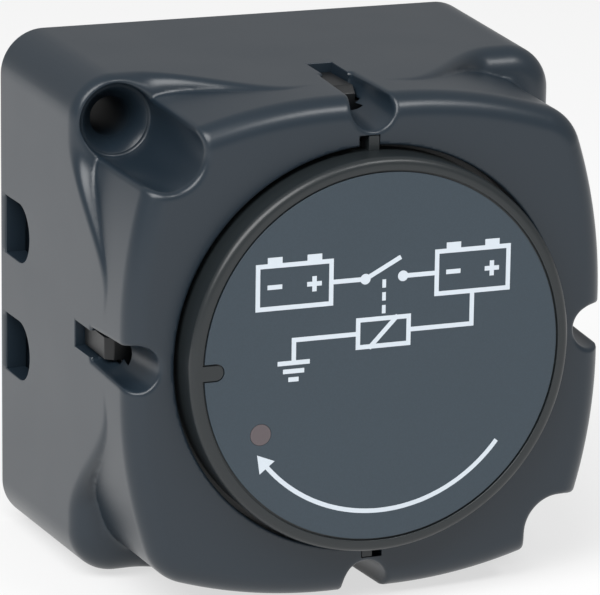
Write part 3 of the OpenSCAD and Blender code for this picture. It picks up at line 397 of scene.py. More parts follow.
def skin_profile(a, steps):
    """The skin's profile at each angle, as (distance, depth) from behind the wall plane to the front"""
    along_side = square_reach(a, half_at(SHOULDER), CORNER_R) * np.sin(a)
    t = np.clip((along_side - RAMP_FROM) / (RAMP_TO - RAMP_FROM), 0, 1)
    end = RAMP_TOP - (RAMP_TOP - SHOULDER) * t * t * (3 - 2 * t)
    gap = np.maximum(square_reach(a, half_at(end), CORNER_R) - block_at(a, end), 0)
    gap = gap * np.where(a < math.atan((BODY_HALF - CORNER_R) / BODY_HALF), np.cos(a), 1)
    turn = np.maximum(np.arccos(1 - np.minimum(gap, ROLL_R) / ROLL_R), math.radians(ROLL_LEAST_TURN))
    roll_w = ROLL_R * (1 - np.cos(turn))
    roll_end = end - ROLL_R * (1 - np.sin(turn))
    foot = roll_end + VALLEY_SINK
    valley = np.minimum(square_reach(a, half_at(roll_end) - roll_w, CORNER_R - roll_w) - VALLEY_SINK,
                        block_at(a, foot) + VALLEY_R)
    rows = [(0 * a, 0 * a + BEHIND_WALL),
            (square_reach(a, half_at(BEHIND_WALL), CORNER_R), 0 * a + BEHIND_WALL),
            (square_reach(a, half_at(0), CORNER_R), 0 * a)]
    for i in range(steps + 1):
        b = turn * i / steps
        d, w = end - ROLL_R * (1 - np.sin(b)), ROLL_R * (1 - np.cos(b))
        rows.append((np.maximum(square_reach(a, half_at(d) - w, CORNER_R - w), block_at(a, d)), d))
    valley_w = np.maximum(valley - block_at(a, foot), 0)
    valley_steps = max(steps // 3, 2)
    for i in range(valley_steps + 1):
        b = math.pi / 2 * i / valley_steps
        d = foot + VALLEY_R * (1 - math.cos(b))
        rows.append((block_at(a, d) + valley_w * (1 - math.sin(b)), d))
    for i in range(steps + 1):
        b = math.pi / 2 * i / steps
        d = 0 * a + PLATE - EDGE_R * (1 - math.sin(b))
        rows.append((block_at(a, d, EDGE_R * (1 - math.cos(b))), d))
    rows.append((0 * a, 0 * a + PLATE))
    return np.stack([np.stack(row, -1) for row in rows], 1)


SKIN_TURN = math.pi / 4 / SKIN_TURNS
profile_table = skin_profile(np.linspace(0, math.pi / 4, SKIN_TURNS + 1), SKIN_STEPS)
slope_table = np.gradient(profile_table, SKIN_TURN, axis=0)
slope_table[[0, -1]] = 0


def skin_distance(points):
    """Distance of points (x, z, depth) from the skin, below 0 inside it, and the way out"""
    x, z, d = points.T
    a, r = np.arctan2(z, x), np.hypot(x, z)
    place = folded(a) / SKIN_TURN
    i = np.clip(place.astype(int), 0, SKIN_TURNS - 1)
    w = (place - i)[:, None, None]
    line = profile_table[i] * (1 - w) + profile_table[i + 1] * w
    side = np.where(np.mod(a, math.pi / 2) <= math.pi / 4, 1, -1)[:, None, None]
    slope = (slope_table[i] * (1 - w) + slope_table[i + 1] * w) * side
    here = np.stack([r, d], -1)[:, None]
    run = np.diff(line, axis=1)
    length2 = np.maximum((run ** 2).sum(-1), 1e-12)
    t = np.clip(((here - line[:, :-1]) * run).sum(-1) / length2, 0, 1)
    away = here - (line[:, :-1] + run * t[..., None])
    far2 = (away ** 2).sum(-1)
    n, k = np.arange(len(points)), far2.argmin(1)
    level = (line[:, :-1, 1] <= d[:, None]) & (line[:, 1:, 1] > d[:, None])
    j = level.argmax(1)
    low, high = line[n, j], line[n, j + 1]
    rim = low[:, 0] + (high[:, 0] - low[:, 0]) * (d - low[:, 1]) / np.maximum(high[:, 1] - low[:, 1], 1e-9)
    sign = np.where(level.any(1) & (r < rim), -1, 1)
    far = np.sqrt(far2[n, k])
    flat = run[n, k] / np.sqrt(length2[n, k])[:, None]
    out = np.where((far > 1e-4)[:, None], away[n, k] / np.maximum(far, 1e-9)[:, None] * sign[:, None],
                   np.stack([flat[:, 1], -flat[:, 0]], -1))
    tilt = slope[n, k] + (slope[n, k + 1] - slope[n, k]) * t[n, k][:, None]
    lean = -(out * tilt).sum(1) / np.maximum(r, 1e-6)
    scale = 1 / np.sqrt(1 + lean ** 2)
    ca, sa = np.cos(a), np.sin(a)
    way = np.stack([out[:, 0] * ca - lean * sa, out[:, 0] * sa + lean * ca, out[:, 1]], -1) * scale[:, None]
    return sign * far * scale, way


def round_off(a, way_a, b, way_b, r):
    """What both hold, with the edge between them rounded"""
    pa, pb = np.maximum(a + r, 0), np.maximum(b + r, 0)
    both = (pa > 0) & (pb > 0)
    length = np.hypot(pa, pb)
    mixed = (pa[:, None] * way_a + pb[:, None] * way_b) / np.maximum(length, 1e-9)[:, None]
    return (np.where(both, length - r, np.maximum(a, b)),
            np.where(both[:, None], mixed, np.where((a > b)[:, None], way_a, way_b)))


def channel_distance(points, x, z):
    """Distance from a driver channel and the way out of it"""
    dx, dz = points[:, 0] - x, points[:, 1] - z
    rho = np.maximum(np.hypot(dx, dz), 1e-9)
    floor_way = np.tile([[0, 0, -1.0]], (len(points), 1))
    return round_off(rho - CHANNEL_R, np.stack([dx / rho, dz / rho, 0 * rho], -1),
                     CHANNEL_FLOOR - points[:, 2], floor_way, CHANNEL_FLOOR_EDGE)


def scoop_distance(points, turn):
    """Distance from a release scoop and the way out of it"""
    c, s = ((1, 0), (0, 1), (-1, 0), (0, -1))[turn]
    u, h = points[:, 0] * c + points[:, 1] * s, points[:, 1] * c - points[:, 0] * s - SCOOP_H
    d = points[:, 2] - PLATE
    up, fore = math.sin(SCOOP_TILT), -math.cos(SCOOP_TILT)
    along = h * up + d * fore
    rh, rd = h - along * up, d - along * fore
    rho = np.maximum(np.sqrt(u * u + rh * rh + rd * rd), 1e-9)
    k = 1 / math.hypot(1, SCOOP_TAPER)
    wall_way = np.stack([u / rho, rh / rho + SCOOP_TAPER * up, rd / rho + SCOOP_TAPER * fore], -1) * k
    end_way = np.tile([[0, up, fore]], (len(points), 1))
    wall = (rho - SCOOP_R + SCOOP_TAPER * along) * k
    value, way = round_off(wall, wall_way, along - SCOOP_L, end_way, SCOOP_END_EDGE)
    return value, np.stack([way[:, 0] * c - way[:, 1] * s, way[:, 0] * s + way[:, 1] * c, way[:, 2]], -1)


def body_distance(points):
    value, way = skin_distance(points)
    for x, z in SCREW_SPOTS:
        hollow, hollow_way = channel_distance(points, x, z)
        value, way = round_off(value, way, -hollow, -hollow_way, CHANNEL_EDGE)
    for turn in range(4):
        hollow, hollow_way = scoop_distance(points, turn)
        value, way = round_off(value, way, -hollow, -hollow_way, SCOOP_EDGE)
    return value, way


BATCH = 20000
LEAST_SLOPE, LONGEST_MOVE = 0.05, 0.5


def drawn_onto_body(spots, times):
    """Moves mesh points onto the rounded body"""
    points = np.stack([spots[:, 0], spots[:, 2], -spots[:, 1]], -1)
    for _ in range(times):
        for first in range(0, len(points), BATCH):
            part = slice(first, first + BATCH)
            value, way = body_distance(points[part])
            move = value / np.maximum((way ** 2).sum(1), LEAST_SLOPE)
            points[part] -= np.clip(move, -LONGEST_MOVE, LONGEST_MOVE)[:, None] * way
    return np.stack([points[:, 0], -points[:, 2], points[:, 1]], -1)


def spots_of(piece):
    spots = np.empty(len(piece.data.vertices) * 3)
    piece.data.vertices.foreach_get("co", spots)
    return spots.reshape(-1, 3)


def put_spots(piece, spots):
    piece.data.vertices.foreach_set("co", spots.ravel())
    piece.data.update()


def mesh_piece(name, points, faces):
    mesh = bpy.data.meshes.new(name)
    mesh.from_pydata(points, [], faces)
    mesh.update()
    piece = bpy.data.objects.new(name, mesh)
    scene.collection.objects.link(piece)
    only(piece)
    bpy.ops.object.mode_set(mode="EDIT")
    bpy.ops.mesh.select_all(action="SELECT")
    bpy.ops.mesh.normals_make_consistent(inside=False)
    bpy.ops.object.mode_set(mode="OBJECT")
    return piece


def lofted(name, rings):
    """Closed solid through rings of points of one count"""
    count = len(rings[0])
    faces = []
    for j in range(len(rings) - 1):
        here, ahead = j * count, (j + 1) * count
        for i in range(count):
            beside = (i + 1) % count
            faces.append((here + i, here + beside, ahead + beside, ahead + i))
    faces += [tuple(range(count)), tuple(range((len(rings) - 1) * count, len(rings) * count))]
    return mesh_piece(name, [tuple(p) for ring in rings for p in ring], faces)


def scoop_bar(turn):
    bpy.ops.mesh.primitive_cone_add(
        vertices=40, radius1=SCOOP_R + SCOOP_OVER * SCOOP_TAPER, radius2=SCOOP_REAR_R,
        depth=SCOOP_L + SCOOP_OVER, location=(0, 0, (SCOOP_L - SCOOP_OVER) / 2))
    piece = fresh()
    piece.location = (0, -PLATE, SCOOP_H)
    piece.rotation_euler = (SCOOP_TILT - math.pi / 2, 0, 0)
    return turn_about_axis(applied(piece), turn)


def rough_body(voxel):
    """The front part of the body in voxels, without what goes through it"""
    turns = np.linspace(0, 2 * math.pi, ROUGH_TURNS, endpoint=False)
    rows = skin_profile(folded(turns), ROUGH_STEPS)[:, 1:-1]
    rings = [[(r * math.cos(a), -d, r * math.sin(a)) for a, (r, d) in zip(turns, rows[:, j])]
             for j in range(rows.shape[1])]
    piece = lofted("housing_shell", rings)
    channels = [bar(CHANNEL_R, CHANNEL_FLOOR, BEFORE_PLATE, *spot, sides=48) for spot in SCREW_SPOTS]
    change(piece, channels + [scoop_bar(turn) for turn in range(4)])
    piece.data.remesh_voxel_size = voxel
    bpy.ops.object.voxel_remesh()
    bpy.ops.object.mode_set(mode="EDIT")
    bpy.ops.mesh.select_all(action="SELECT")
    bpy.ops.mesh.bisect(plane_co=(0, -JOIN_DEPTH, 0), plane_no=(0, 1, 0), clear_outer=True)
    bpy.ops.object.mode_set(mode="OBJECT")
    return piece


def ease_onto_body(piece):
    """Evens the voxels out and draws them onto the rounded body. The rim at the join keeps its depth."""
    spots = spots_of(piece)
    rim = np.abs(spots[:, 1] + JOIN_DEPTH) < CLOSE
    ends = np.empty(len(piece.data.edges) * 2, np.int64)
    piece.data.edges.foreach_get("vertices", ends)
    ends = ends.reshape(-1, 2)
    count = np.bincount(ends.ravel(), minlength=len(spots))
    for _ in range(3):
        total = np.zeros_like(spots)
        for here, there in ((0, 1), (1, 0)):
            for axis in range(3):
                total[:, axis] += np.bincount(ends[:, here], spots[ends[:, there], axis], len(spots))
        eased = (spots + total / count[:, None]) / 2
        eased[rim] = spots[rim]
        spots = drawn_onto_body(eased, 2)
        spots[rim, 1] = -JOIN_DEPTH
    spots = drawn_onto_body(spots, 3)
    spots[rim, 1] = -JOIN_DEPTH
    put_spots(piece, spots)


def draw_back(piece):
    """Draws the rim at the join straight back to the rear outline, and closes it"""
    only(piece)
    bpy.ops.object.mode_set(mode="EDIT")
    bpy.ops.mesh.select_mode(type="EDGE")
    bpy.ops.mesh.select_all(action="DESELECT")
    bpy.ops.mesh.select_non_manifold()
    bpy.ops.mesh.extrude_edges_move(TRANSFORM_OT_translate={"value": (0, JOIN_DEPTH, 0)})
    bpy.ops.mesh.edge_face_add()
    bpy.ops.object.mode_set(mode="OBJECT")
    spots = spots_of(piece)
    rear = np.abs(spots[:, 1]) < CLOSE
    a = np.arctan2(spots[rear, 2], spots[rear, 0])
    reach = square_reach(folded(a), BODY_HALF, CORNER_R)
    spots[rear] = np.stack([reach * np.cos(a), 0 * a, reach * np.sin(a)], -1)
    put_spots(piece, spots)


# What is cut from the body: the cavity with columns round the screws, the opening for the drum, slots over
# the latches, cable openings, and holes for screws

CAVITY_HALF, CAVITY_REAR, CAVITY_FRONT, CAVITY_CORNER_R = 31.62, 1.3, 27.1, 4.95
COLUMN_R, COLUMN_FRONT, COVER_BOSS_R, COVER_BOSS_END = 6.9, 30.0, 4.6, 8.1
COVER_PILOT_R, COVER_PILOT_REAR, COVER_PILOT_END = 1.35, 0.5, 8.05
REAR_RECESS_HALF, REAR_RECESS_DEPTH, REAR_RECESS_CORNER_R = 32.9, 1.35, 4.4
DRUM_ROOM_R, DRUM_ROOM_REAR, PLATE_REAR = 30.5, 27.0, 45.7
SCOOP_WALL_R, SCOOP_WALL_REAR, SCOOP_WALL_FRONT = 4.55, 40.5, 48.0
OPENING_REAR = 45.0
OPENING_PROFILE = ((27.0, OPENING_REAR), (27.0, 48.05), (27.02, 48.15), (27.08, 48.23), (27.25, 48.3),
                   (27.45, 49.0))
KEYWAY_LEFT, KEYWAY_RIGHT, KEYWAY_LOW, KEYWAY_REACH, KEYWAY_CORNER_R = -2.075, 0.825, 20.0, 28.4, 0.1
SLOT_HALF, SLOT_REAR, SLOT_FRONT, SLOT_CUT, SLOT_FLARE = 1.8, 28.8, 38.8, 5.0, 0.16
LATCH_ROOM_HALF, LATCH_ROOM_LOW = 3.6, 27.5
LATCH_ROOMS = ((16.0, 34.0, 31.6), (33.0, 38.8, 30.9))
CABLE_REAR, CABLE_ROUND_AT, CABLE_R, CABLE_Z, CABLE_CUT, CABLE_FLARE = 1.7, 7.2, 4.0, 8.2, 8.0, 0.22
HOLE_R, SINK_REAR, SINK_R, SINK_FRONT = 2.7, 25.0, 4.385, 27.18
FLOOR_ARC_AT, FLOOR_ARC_DEPTH, FLOOR_ARC_R, FLOOR_CUT_FRONT = 4.5, 27.6, 0.42, 27.9


def wall_window(outline, x_side, deepest, flare):
    """Cutter for a hole in a side wall, with its outer edge eased: outline is (depth, z) pairs"""
    middle = np.mean(outline, axis=0)
    rings = []
    steps = ((2.0, flare), (0.05, flare), (-flare * 0.35, flare * 0.3), (-flare, 0.0), (-deepest, 0.0))
    for over, grown in steps:
        ring = []
        for depth, z in outline:
            away = np.array([depth, z]) - middle
            size = max(np.hypot(*away), 1e-6)
            depth_now, z_now = middle + away * (size + grown) / size
            ring.append((x_side * (half_at(depth) + over), -depth_now, z_now))
        rings.append(ring)
    return lofted("wall_window", rings)


def columns(start, end):
    """The room that the columns round the screws take up"""
    return [bar(COLUMN_R, start, end, *spot) for spot in SCREW_SPOTS]


def hollows():
    """Cutters along the depth: the cavity, the cover's recess, the drum's room and its opening"""
    cavity = block(-CAVITY_HALF, CAVITY_HALF, CAVITY_REAR, CAVITY_FRONT, -CAVITY_HALF, CAVITY_HALF,
                   CAVITY_CORNER_R)
    change(cavity, columns(0, COLUMN_FRONT)
           + [bar(COVER_BOSS_R, REAR_RECESS_DEPTH, COVER_BOSS_END, *spot) for spot in COVER_SPOTS])
    recess = block(-REAR_RECESS_HALF, REAR_RECESS_HALF, -1, REAR_RECESS_DEPTH, -REAR_RECESS_HALF,
                   REAR_RECESS_HALF, REAR_RECESS_CORNER_R)
    change(recess, columns(-2, 2))
    drum_room = bar(DRUM_ROOM_R, DRUM_ROOM_REAR, PLATE_REAR, sides=128)
    change(drum_room, [bar(SCOOP_WALL_R, SCOOP_WALL_REAR, SCOOP_WALL_FRONT, *spot)
                       for spot in ((0, SCOOP_H), (0, -SCOOP_H), (SCOOP_H, 0), (-SCOOP_H, 0))])
    cutters = [cavity, recess, drum_room, turned_solid(OPENING_PROFILE, 192)]
    for turn in (0, 2):
        keyway = block(KEYWAY_LEFT, KEYWAY_RIGHT, OPENING_REAR, PLATE + 1, KEYWAY_LOW, KEYWAY_REACH,
                       KEYWAY_CORNER_R, 2)
        cutters.append(turn_about_axis(keyway, turn))
    return cutters


def side_cutters():
    """Slots over the latches with the latches' room, and the cable openings"""
    slot = [(SLOT_REAR, -SLOT_HALF), (SLOT_FRONT, -SLOT_HALF),
            (SLOT_FRONT, SLOT_HALF), (SLOT_REAR, SLOT_HALF)]
    cutters = []
    for turn in range(4):
        cutters.append(turn_about_axis(wall_window(slot, 1, SLOT_CUT, SLOT_FLARE), turn))
        for rear, front, top in LATCH_ROOMS:
            room = block(-LATCH_ROOM_HALF, LATCH_ROOM_HALF, rear, front, LATCH_ROOM_LOW, top)
            cutters.append(turn_about_axis(room, turn))
    opening = [(CABLE_REAR, -CABLE_R), (CABLE_REAR, CABLE_R)]
    for t in np.linspace(0, math.pi, 25):
        opening.append((CABLE_ROUND_AT + CABLE_R * math.sin(t), CABLE_R * math.cos(t)))
    for x_side in (-1, 1):
        for middle in (-CABLE_Z, CABLE_Z):
            outline = [(d, z + middle) for d, z in opening]
            cutters.append(wall_window(outline, x_side, CABLE_CUT, CABLE_FLARE))
    return cutters


def screw_cutters():
    """Countersunk holes that take the channels' floor with them, and the cover screws' pilot holes"""
    sunk = [(HOLE_R, -1), (HOLE_R, SINK_REAR), (SINK_R, SINK_FRONT)]
    sunk += quarter_arc(FLOOR_ARC_AT, FLOOR_ARC_DEPTH, FLOOR_ARC_R, -90, 0)
    sunk += [(FLOOR_ARC_AT + FLOOR_ARC_R, FLOOR_CUT_FRONT)]
    return [turned_solid(sunk, 96, *spot) for spot in SCREW_SPOTS] + [
        bar(COVER_PILOT_R, COVER_PILOT_REAR, COVER_PILOT_END, *spot, sides=24) for spot in COVER_SPOTS]


voxel = 0.38
housing = rough_body(voxel)
ease_onto_body(housing)
draw_back(housing)
change(housing, hollows() + side_cutters() + screw_cutters())
done(housing, "housing_shell", "relay_body", "housing_plastic", ["housing"], smooth=62)


# Relay drum: a turned body with a key at the top and the bottom, and a tab in its ring

DRUM_R, DRUM_DEPTH, DRUM_EDGE_R, TURNED_SIDES = 26.3, 52.5, 1.0, 256
FLANGE_DEPTH, REAR_FLANGE_T, STOP_FLANGE_T = 19.5, 2.5, 1.8
BARREL_R, REAR_FLANGE_R, STOP_FLANGE_R = 25.4, 30.4, 30.0
REAR_BORE_R, FRONT_BORE_R, BORE_STEP, FRONT_WALL = 24.1, 23.0, 32.55, 49.9
KEY_W, KEY_REACH = 1.45, 28.3
LABEL_R, LABEL_GAP, RECESS_DEPTH, LABEL_T, LABEL_EDGE = 24.4, 0.25, 52.1, 0.3, 0.03
RECESS_R = LABEL_R + LABEL_GAP
TAB_W, TAB_L = 1.95, 2.75
WINDOW_X, WINDOW_Z, WINDOW_R, WINDOW_GAP = -16.7, -8.805, 1.45, 0.05
BOARD_RING, BOARD_TURNS, BOARD_BOSS_R, BOARD_BOSS_DEPTH = 20.2, (52, 128, 270), 1.8, 49.2
BOARD_PILOT_R, BOARD_PILOT_REAR, BOARD_PILOT_END = 1.15, 48.0, 51.3
BASE_RING, BASE_TURNS, BASE_PILOT_R = 27.9, (45, 135, 225, 315), 1.3
LATCH_W, LATCH_T, LATCH_H, LATCH_GAP = 6.4, 1.6, 30.5, 0.4
SCOOP_ROOM_R, SCOOP_ROOM_REAR = 4.95, 42.1
HAIR = 0.12


def on_ring(r, degrees):
    return [(r * math.cos(math.radians(a)), r * math.sin(math.radians(a))) for a in degrees]


def tab_tools(start, end, grown):
    """The ring's tab at the left, with a round end"""
    middle = RECESS_R - TAB_L + TAB_W / 2
    half = TAB_W / 2 + grown
    return [bar(half, start, end, -middle, 0, sides=48),
            block(-RECESS_R - 0.3, -middle, start, end, -half, half)]


def drum_outline():
    """Half section of the drum as (radius, depth), from its rear flange to the recess for the label"""
    flange_front, stop_rear = FLANGE_DEPTH + REAR_FLANGE_T, PLATE_REAR - STOP_FLANGE_T
    outline = [(REAR_FLANGE_R, FLANGE_DEPTH), (REAR_FLANGE_R, flange_front), (BARREL_R, flange_front),
               (BARREL_R, stop_rear), (STOP_FLANGE_R, stop_rear), (STOP_FLANGE_R, PLATE_REAR),
               (DRUM_R, PLATE_REAR)]
    outline += quarter_arc(DRUM_R - DRUM_EDGE_R, DRUM_DEPTH - DRUM_EDGE_R, DRUM_EDGE_R, 0, 90, 10)
    outline += quarter_arc(RECESS_R + HAIR, DRUM_DEPTH - HAIR, HAIR, 90, 180, 4)
    return outline + [(RECESS_R, RECESS_DEPTH)]


def relay_drum():
    piece = turned_solid(drum_outline(), TURNED_SIDES)
    joined = tab_tools(RECESS_DEPTH - 0.5, DRUM_DEPTH, 0)
    for turn in (0, 2):
        key = block(-KEY_W / 2, KEY_W / 2, PLATE_REAR - 0.5, PLATE, DRUM_R - 1, KEY_REACH)
        joined.append(turn_about_axis(soften(key, HAIR, 2), turn))
    change(piece, joined, "UNION")
    board_spots = on_ring(BOARD_RING, BOARD_TURNS)
    front_bore = bar(FRONT_BORE_R, BORE_STEP - 0.5, FRONT_WALL, sides=96)
    change(front_bore, [bar(BOARD_BOSS_R, BOARD_BOSS_DEPTH, FRONT_WALL + 1, *spot, sides=32)
                        for spot in board_spots])
    cuts = [bar(REAR_BORE_R, FLANGE_DEPTH - 1, BORE_STEP, sides=96), front_bore,
            bar(WINDOW_R + WINDOW_GAP, FRONT_WALL - 0.5, DRUM_DEPTH + 1, WINDOW_X, WINDOW_Z, sides=48)]
    cuts += [bar(BOARD_PILOT_R, BOARD_PILOT_REAR, BOARD_PILOT_END, *spot, sides=24) for spot in board_spots]
    flange_cut = (FLANGE_DEPTH - 1, FLANGE_DEPTH + REAR_FLANGE_T + 1)
    cuts += [bar(BASE_PILOT_R, *flange_cut, *spot, sides=24) for spot in on_ring(BASE_RING, BASE_TURNS)]
    floor_h = LATCH_H - 1.5 * LATCH_T - 2 * LATCH_GAP
    half = (LATCH_W + LATCH_GAP) / 2
    for turn in range(4):
        scoop_room = bar(SCOOP_ROOM_R, SCOOP_ROOM_REAR, PLATE_REAR + 0.001, 0, SCOOP_H, sides=48)
        cuts.append(turn_about_axis(scoop_room, turn))
        cuts.append(turn_about_axis(block(-half, half, *flange_cut, floor_h, BODY_HALF), turn))
    return change(piece, cuts)


def label_film():
    top = RECESS_DEPTH + LABEL_T
    outline = [(LABEL_R, RECESS_DEPTH), (LABEL_R, top - LABEL_EDGE), (LABEL_R - LABEL_EDGE, top)]
    window = bar(WINDOW_R, RECESS_DEPTH - 0.5, top + 0.5, WINDOW_X, WINDOW_Z, sides=64)
    notch = tab_tools(RECESS_DEPTH - 0.5, top + 0.5, 0.8 * LABEL_GAP)
    return change(turned_solid(outline, TURNED_SIDES), notch + [window])


done(relay_drum(), "relay_drum_turned", "relay_body", "drum_plastic", ["relay_drum"])
done(label_film(), "label_film", "relay_body", "label_film", ["label_disc"])


# Print on the label: two batteries, the contact between them and the coil that closes it, and an arrow
# along the lower edge that points at the window

PRINT_REAR, PRINT_FRONT, STROKE = 52.38, 52.43, 0.6
BATTERY_X, BATTERY_Z, BATTERY_W, BATTERY_H = 12.3, 10.6, 10.0, 5.6
POLE_AT, POLE_W, POLE_H, SIGN_L = 0.27, 2.0, 1.0, 2.0
CONTACT_X, DOT_R, LEVER_SHORT, LEVER_RISE = 2.6, 0.7, 0.6, 2.4
COIL_Z, COIL_W, COIL_H = 3.4, 7.0, 3.6
DASHES_Z, DASH_L, DASH_W = (6.4, 8.1, 9.8), 1.1, 0.5
GROUND_Z, GROUND_STEP, GROUND_W, GROUND_TAPER = 0.4, 1.1, 4.4, 1.5
ARROW_R, ARROW_HALF_TURN, ARROW_HEAD_R = 20.6, 52, 1.5


def stroke(x, z, length, width=STROKE, degrees=0.0, grown=0.0):
    """Printed bar about its middle"""
    piece = block(-length / 2, length / 2, PRINT_REAR - grown, PRINT_FRONT + grown, -width / 2, width / 2)
    piece.rotation_euler = (0, -math.radians(degrees), 0)
    piece.location = (x, 0, z)
    return applied(piece)


def stroke_between(x0, z0, x1, z1):
    return stroke((x0 + x1) / 2, (z0 + z1) / 2, math.hypot(x1 - x0, z1 - z0) + STROKE, STROKE,
                  math.degrees(math.atan2(z1 - z0, x1 - x0)))


def box_strokes(x, z, width, height):
    return [stroke(x, z + side * height / 2, width + STROKE) for side in (-1, 1)] + [
        stroke(x + side * width / 2, z, height + STROKE, degrees=90) for side in (-1, 1)]


def battery_strokes(x):
    top = BATTERY_Z + BATTERY_H / 2
    strokes = box_strokes(x, BATTERY_Z, BATTERY_W, BATTERY_H)
    for side in (-1, 1):
        pole_x = x + side * BATTERY_W * POLE_AT
        strokes.append(stroke(pole_x, top + STROKE, POLE_W, POLE_H))
        strokes.append(stroke(pole_x, BATTERY_Z, SIGN_L))
    return strokes + [stroke(x + BATTERY_W * POLE_AT, BATTERY_Z, SIGN_L, degrees=90)]


def contact_strokes():
    """The open contact between the batteries, with its dots and leads"""
    lead_x = BATTERY_X - BATTERY_W / 2
    strokes = []
    for side in (-1, 1):
        strokes.append(bar(DOT_R, PRINT_REAR, PRINT_FRONT, side * CONTACT_X, BATTERY_Z, sides=32))
        strokes.append(stroke_between(side * CONTACT_X, BATTERY_Z, side * lead_x, BATTERY_Z))
    return strokes + [
        stroke_between(-CONTACT_X, BATTERY_Z, CONTACT_X - LEVER_SHORT, BATTERY_Z + LEVER_RISE)]


def coil_strokes():
    """The coil, its link to the contact, its lead and its ground"""
    strokes = box_strokes(0, COIL_Z, COIL_W, COIL_H)
    strokes.append(stroke_between(-COIL_W / 4, COIL_Z - COIL_H / 2, COIL_W / 4, COIL_Z + COIL_H / 2))
    strokes += [stroke(0, z, DASH_L, DASH_W, 90) for z in DASHES_Z]
    for side, end_z in ((1, BATTERY_Z - BATTERY_H / 2), (-1, GROUND_Z)):
        strokes.append(stroke_between(side * COIL_W / 2, COIL_Z, side * BATTERY_X, COIL_Z))
        strokes.append(stroke_between(side * BATTERY_X, COIL_Z, side * BATTERY_X, end_z))
    return strokes + [stroke(-BATTERY_X, GROUND_Z - GROUND_STEP * i, GROUND_W - GROUND_TAPER * i)
                      for i in range(3)]


def arrow_strokes():
    """An arc that ends in an arrow's head"""
    arc = bar(ARROW_R + STROKE / 2, PRINT_REAR, PRINT_FRONT, sides=256)
    over = 2 * LABEL_R
    cuts = [bar(ARROW_R - STROKE / 2, PRINT_REAR - 1, PRINT_FRONT + 1, sides=256)]
    for side in (-1, 1):
        lean = math.radians(side * (ARROW_HALF_TURN - 90))
        cuts.append(stroke(-math.sin(lean) * over / 2, math.cos(lean) * over / 2, 2 * over, over,
                           math.degrees(lean), grown=1))
    change(arc, cuts)
    tip = math.radians(270 - ARROW_HALF_TURN)
    bpy.ops.mesh.primitive_cylinder_add(vertices=3, radius=ARROW_HEAD_R, depth=PRINT_FRONT - PRINT_REAR)
    head = bpy.context.active_object
    head.rotation_euler = (math.pi / 2, 0, 0)
    applied(head)
    head.rotation_euler = (0, -(tip - math.pi), 0)
    head.location = (ARROW_R * math.cos(tip), -(PRINT_REAR + PRINT_FRONT) / 2, ARROW_R * math.sin(tip))
    return [arc, applied(head)]


def label_print():
    strokes = battery_strokes(-BATTERY_X) + battery_strokes(BATTERY_X) + contact_strokes() + coil_strokes()
    return change(strokes[0], strokes[1:] + arrow_strokes(), "UNION")


done(label_print(), "label_print", "relay_body", "label_film", finish="label_print")


# Snap latches: an arm, a catch that shows in the housing's slot, and hinge pins

CATCH_W, CATCH_H, CATCH_REAR, CATCH_FRONT, CATCH_CHAMFER = 3.0, 32.5, 29.1, 38.0, 1.0
LATCH_REAR, HINGE_DEPTH, PIN_R, PIN_L = 16.1, 17.2, 0.8, 1.5
ARM_EDGE, CATCH_EDGE, PIN_EDGE = 0.2, 0.14, 0.15


def latch(turn):
    arm = block(-LATCH_W / 2, LATCH_W / 2, LATCH_REAR, CATCH_FRONT, LATCH_H - LATCH_T, LATCH_H)
    soften(arm, ARM_EDGE)
    catch = block(-CATCH_W / 2, CATCH_W / 2, CATCH_REAR, CATCH_FRONT, LATCH_H - LATCH_T / 2, CATCH_H)
    pick_edges(catch, lambda a, b: min(a.z, b.z) > CATCH_H - 0.01 and max(a.y, b.y) < 0.01 - CATCH_FRONT)
    bpy.ops.mesh.bevel(offset=CATCH_CHAMFER, segments=1, affect="EDGES")
    bpy.ops.object.mode_set(mode="OBJECT")
    soften(catch, CATCH_EDGE, 2)
    bpy.ops.mesh.primitive_cylinder_add(
        vertices=32, radius=PIN_R, depth=LATCH_W + 2 * PIN_L, rotation=(0, math.pi / 2, 0),
        location=(0, -HINGE_DEPTH, LATCH_H - LATCH_T / 2))
    pins = soften(fresh(), PIN_EDGE, 2)
    return turn_about_axis(change(arm, [catch, pins], "UNION"), turn)


# The latches are drum plastic dressed in a darker copy of it: painted shade for the slots they sit in.
for turn, side in enumerate(("top", "left", "bottom", "right")):
    node_name = f"latch_{side}"
    done(latch(turn), f"{node_name}_moulded", node_name, "drum_plastic", [node_name], "latch_plastic_painted_shade")


# Rear cover with its countersunk screws

COVER_HALF, COVER_CORNER_R, COVER_REAR, COVER_FRONT, COVER_EDGE = 32.7, 4.2, 0.15, 1.35, 0.2
COVER_HOLE_R, COVER_SINK_GAP = 7.1, 0.05
COVER_HEAD_R, COVER_SHANK_R, COVER_TIP_R, COVER_SCREW_END = 2.3, 1.3, 0.4, 8.0
DRIVE_HALF_W, DRIVE_HALF_L, DRIVE_DEPTH = 0.35, 1.4, 0.8
HEAD_END = COVER_REAR + COVER_HEAD_R - COVER_SHANK_R


def cover_screw(x, z):
    outline = [(COVER_HEAD_R, COVER_REAR), (COVER_SHANK_R, HEAD_END), (COVER_SHANK_R, COVER_SCREW_END - 1),
               (COVER_TIP_R, COVER_SCREW_END)]
    piece = turned_solid(outline, 48, x, z)
    cross = ((DRIVE_HALF_W, DRIVE_HALF_L), (DRIVE_HALF_L, DRIVE_HALF_W))
    return change(piece, [block(x - w, x + w, -1, COVER_REAR + DRIVE_DEPTH, z - h, z + h) for w, h in cross])


def cover_screw_hole(x, z):
    """The screw's room in the cover, a gap wider than its head and shank"""
    head_r, shank_r = COVER_HEAD_R + COVER_SINK_GAP, COVER_SHANK_R + COVER_SINK_GAP
    outline = [(head_r, -1), (head_r, COVER_REAR), (shank_r, HEAD_END), (shank_r, COVER_SCREW_END)]
    return turned_solid(outline, 48, x, z)


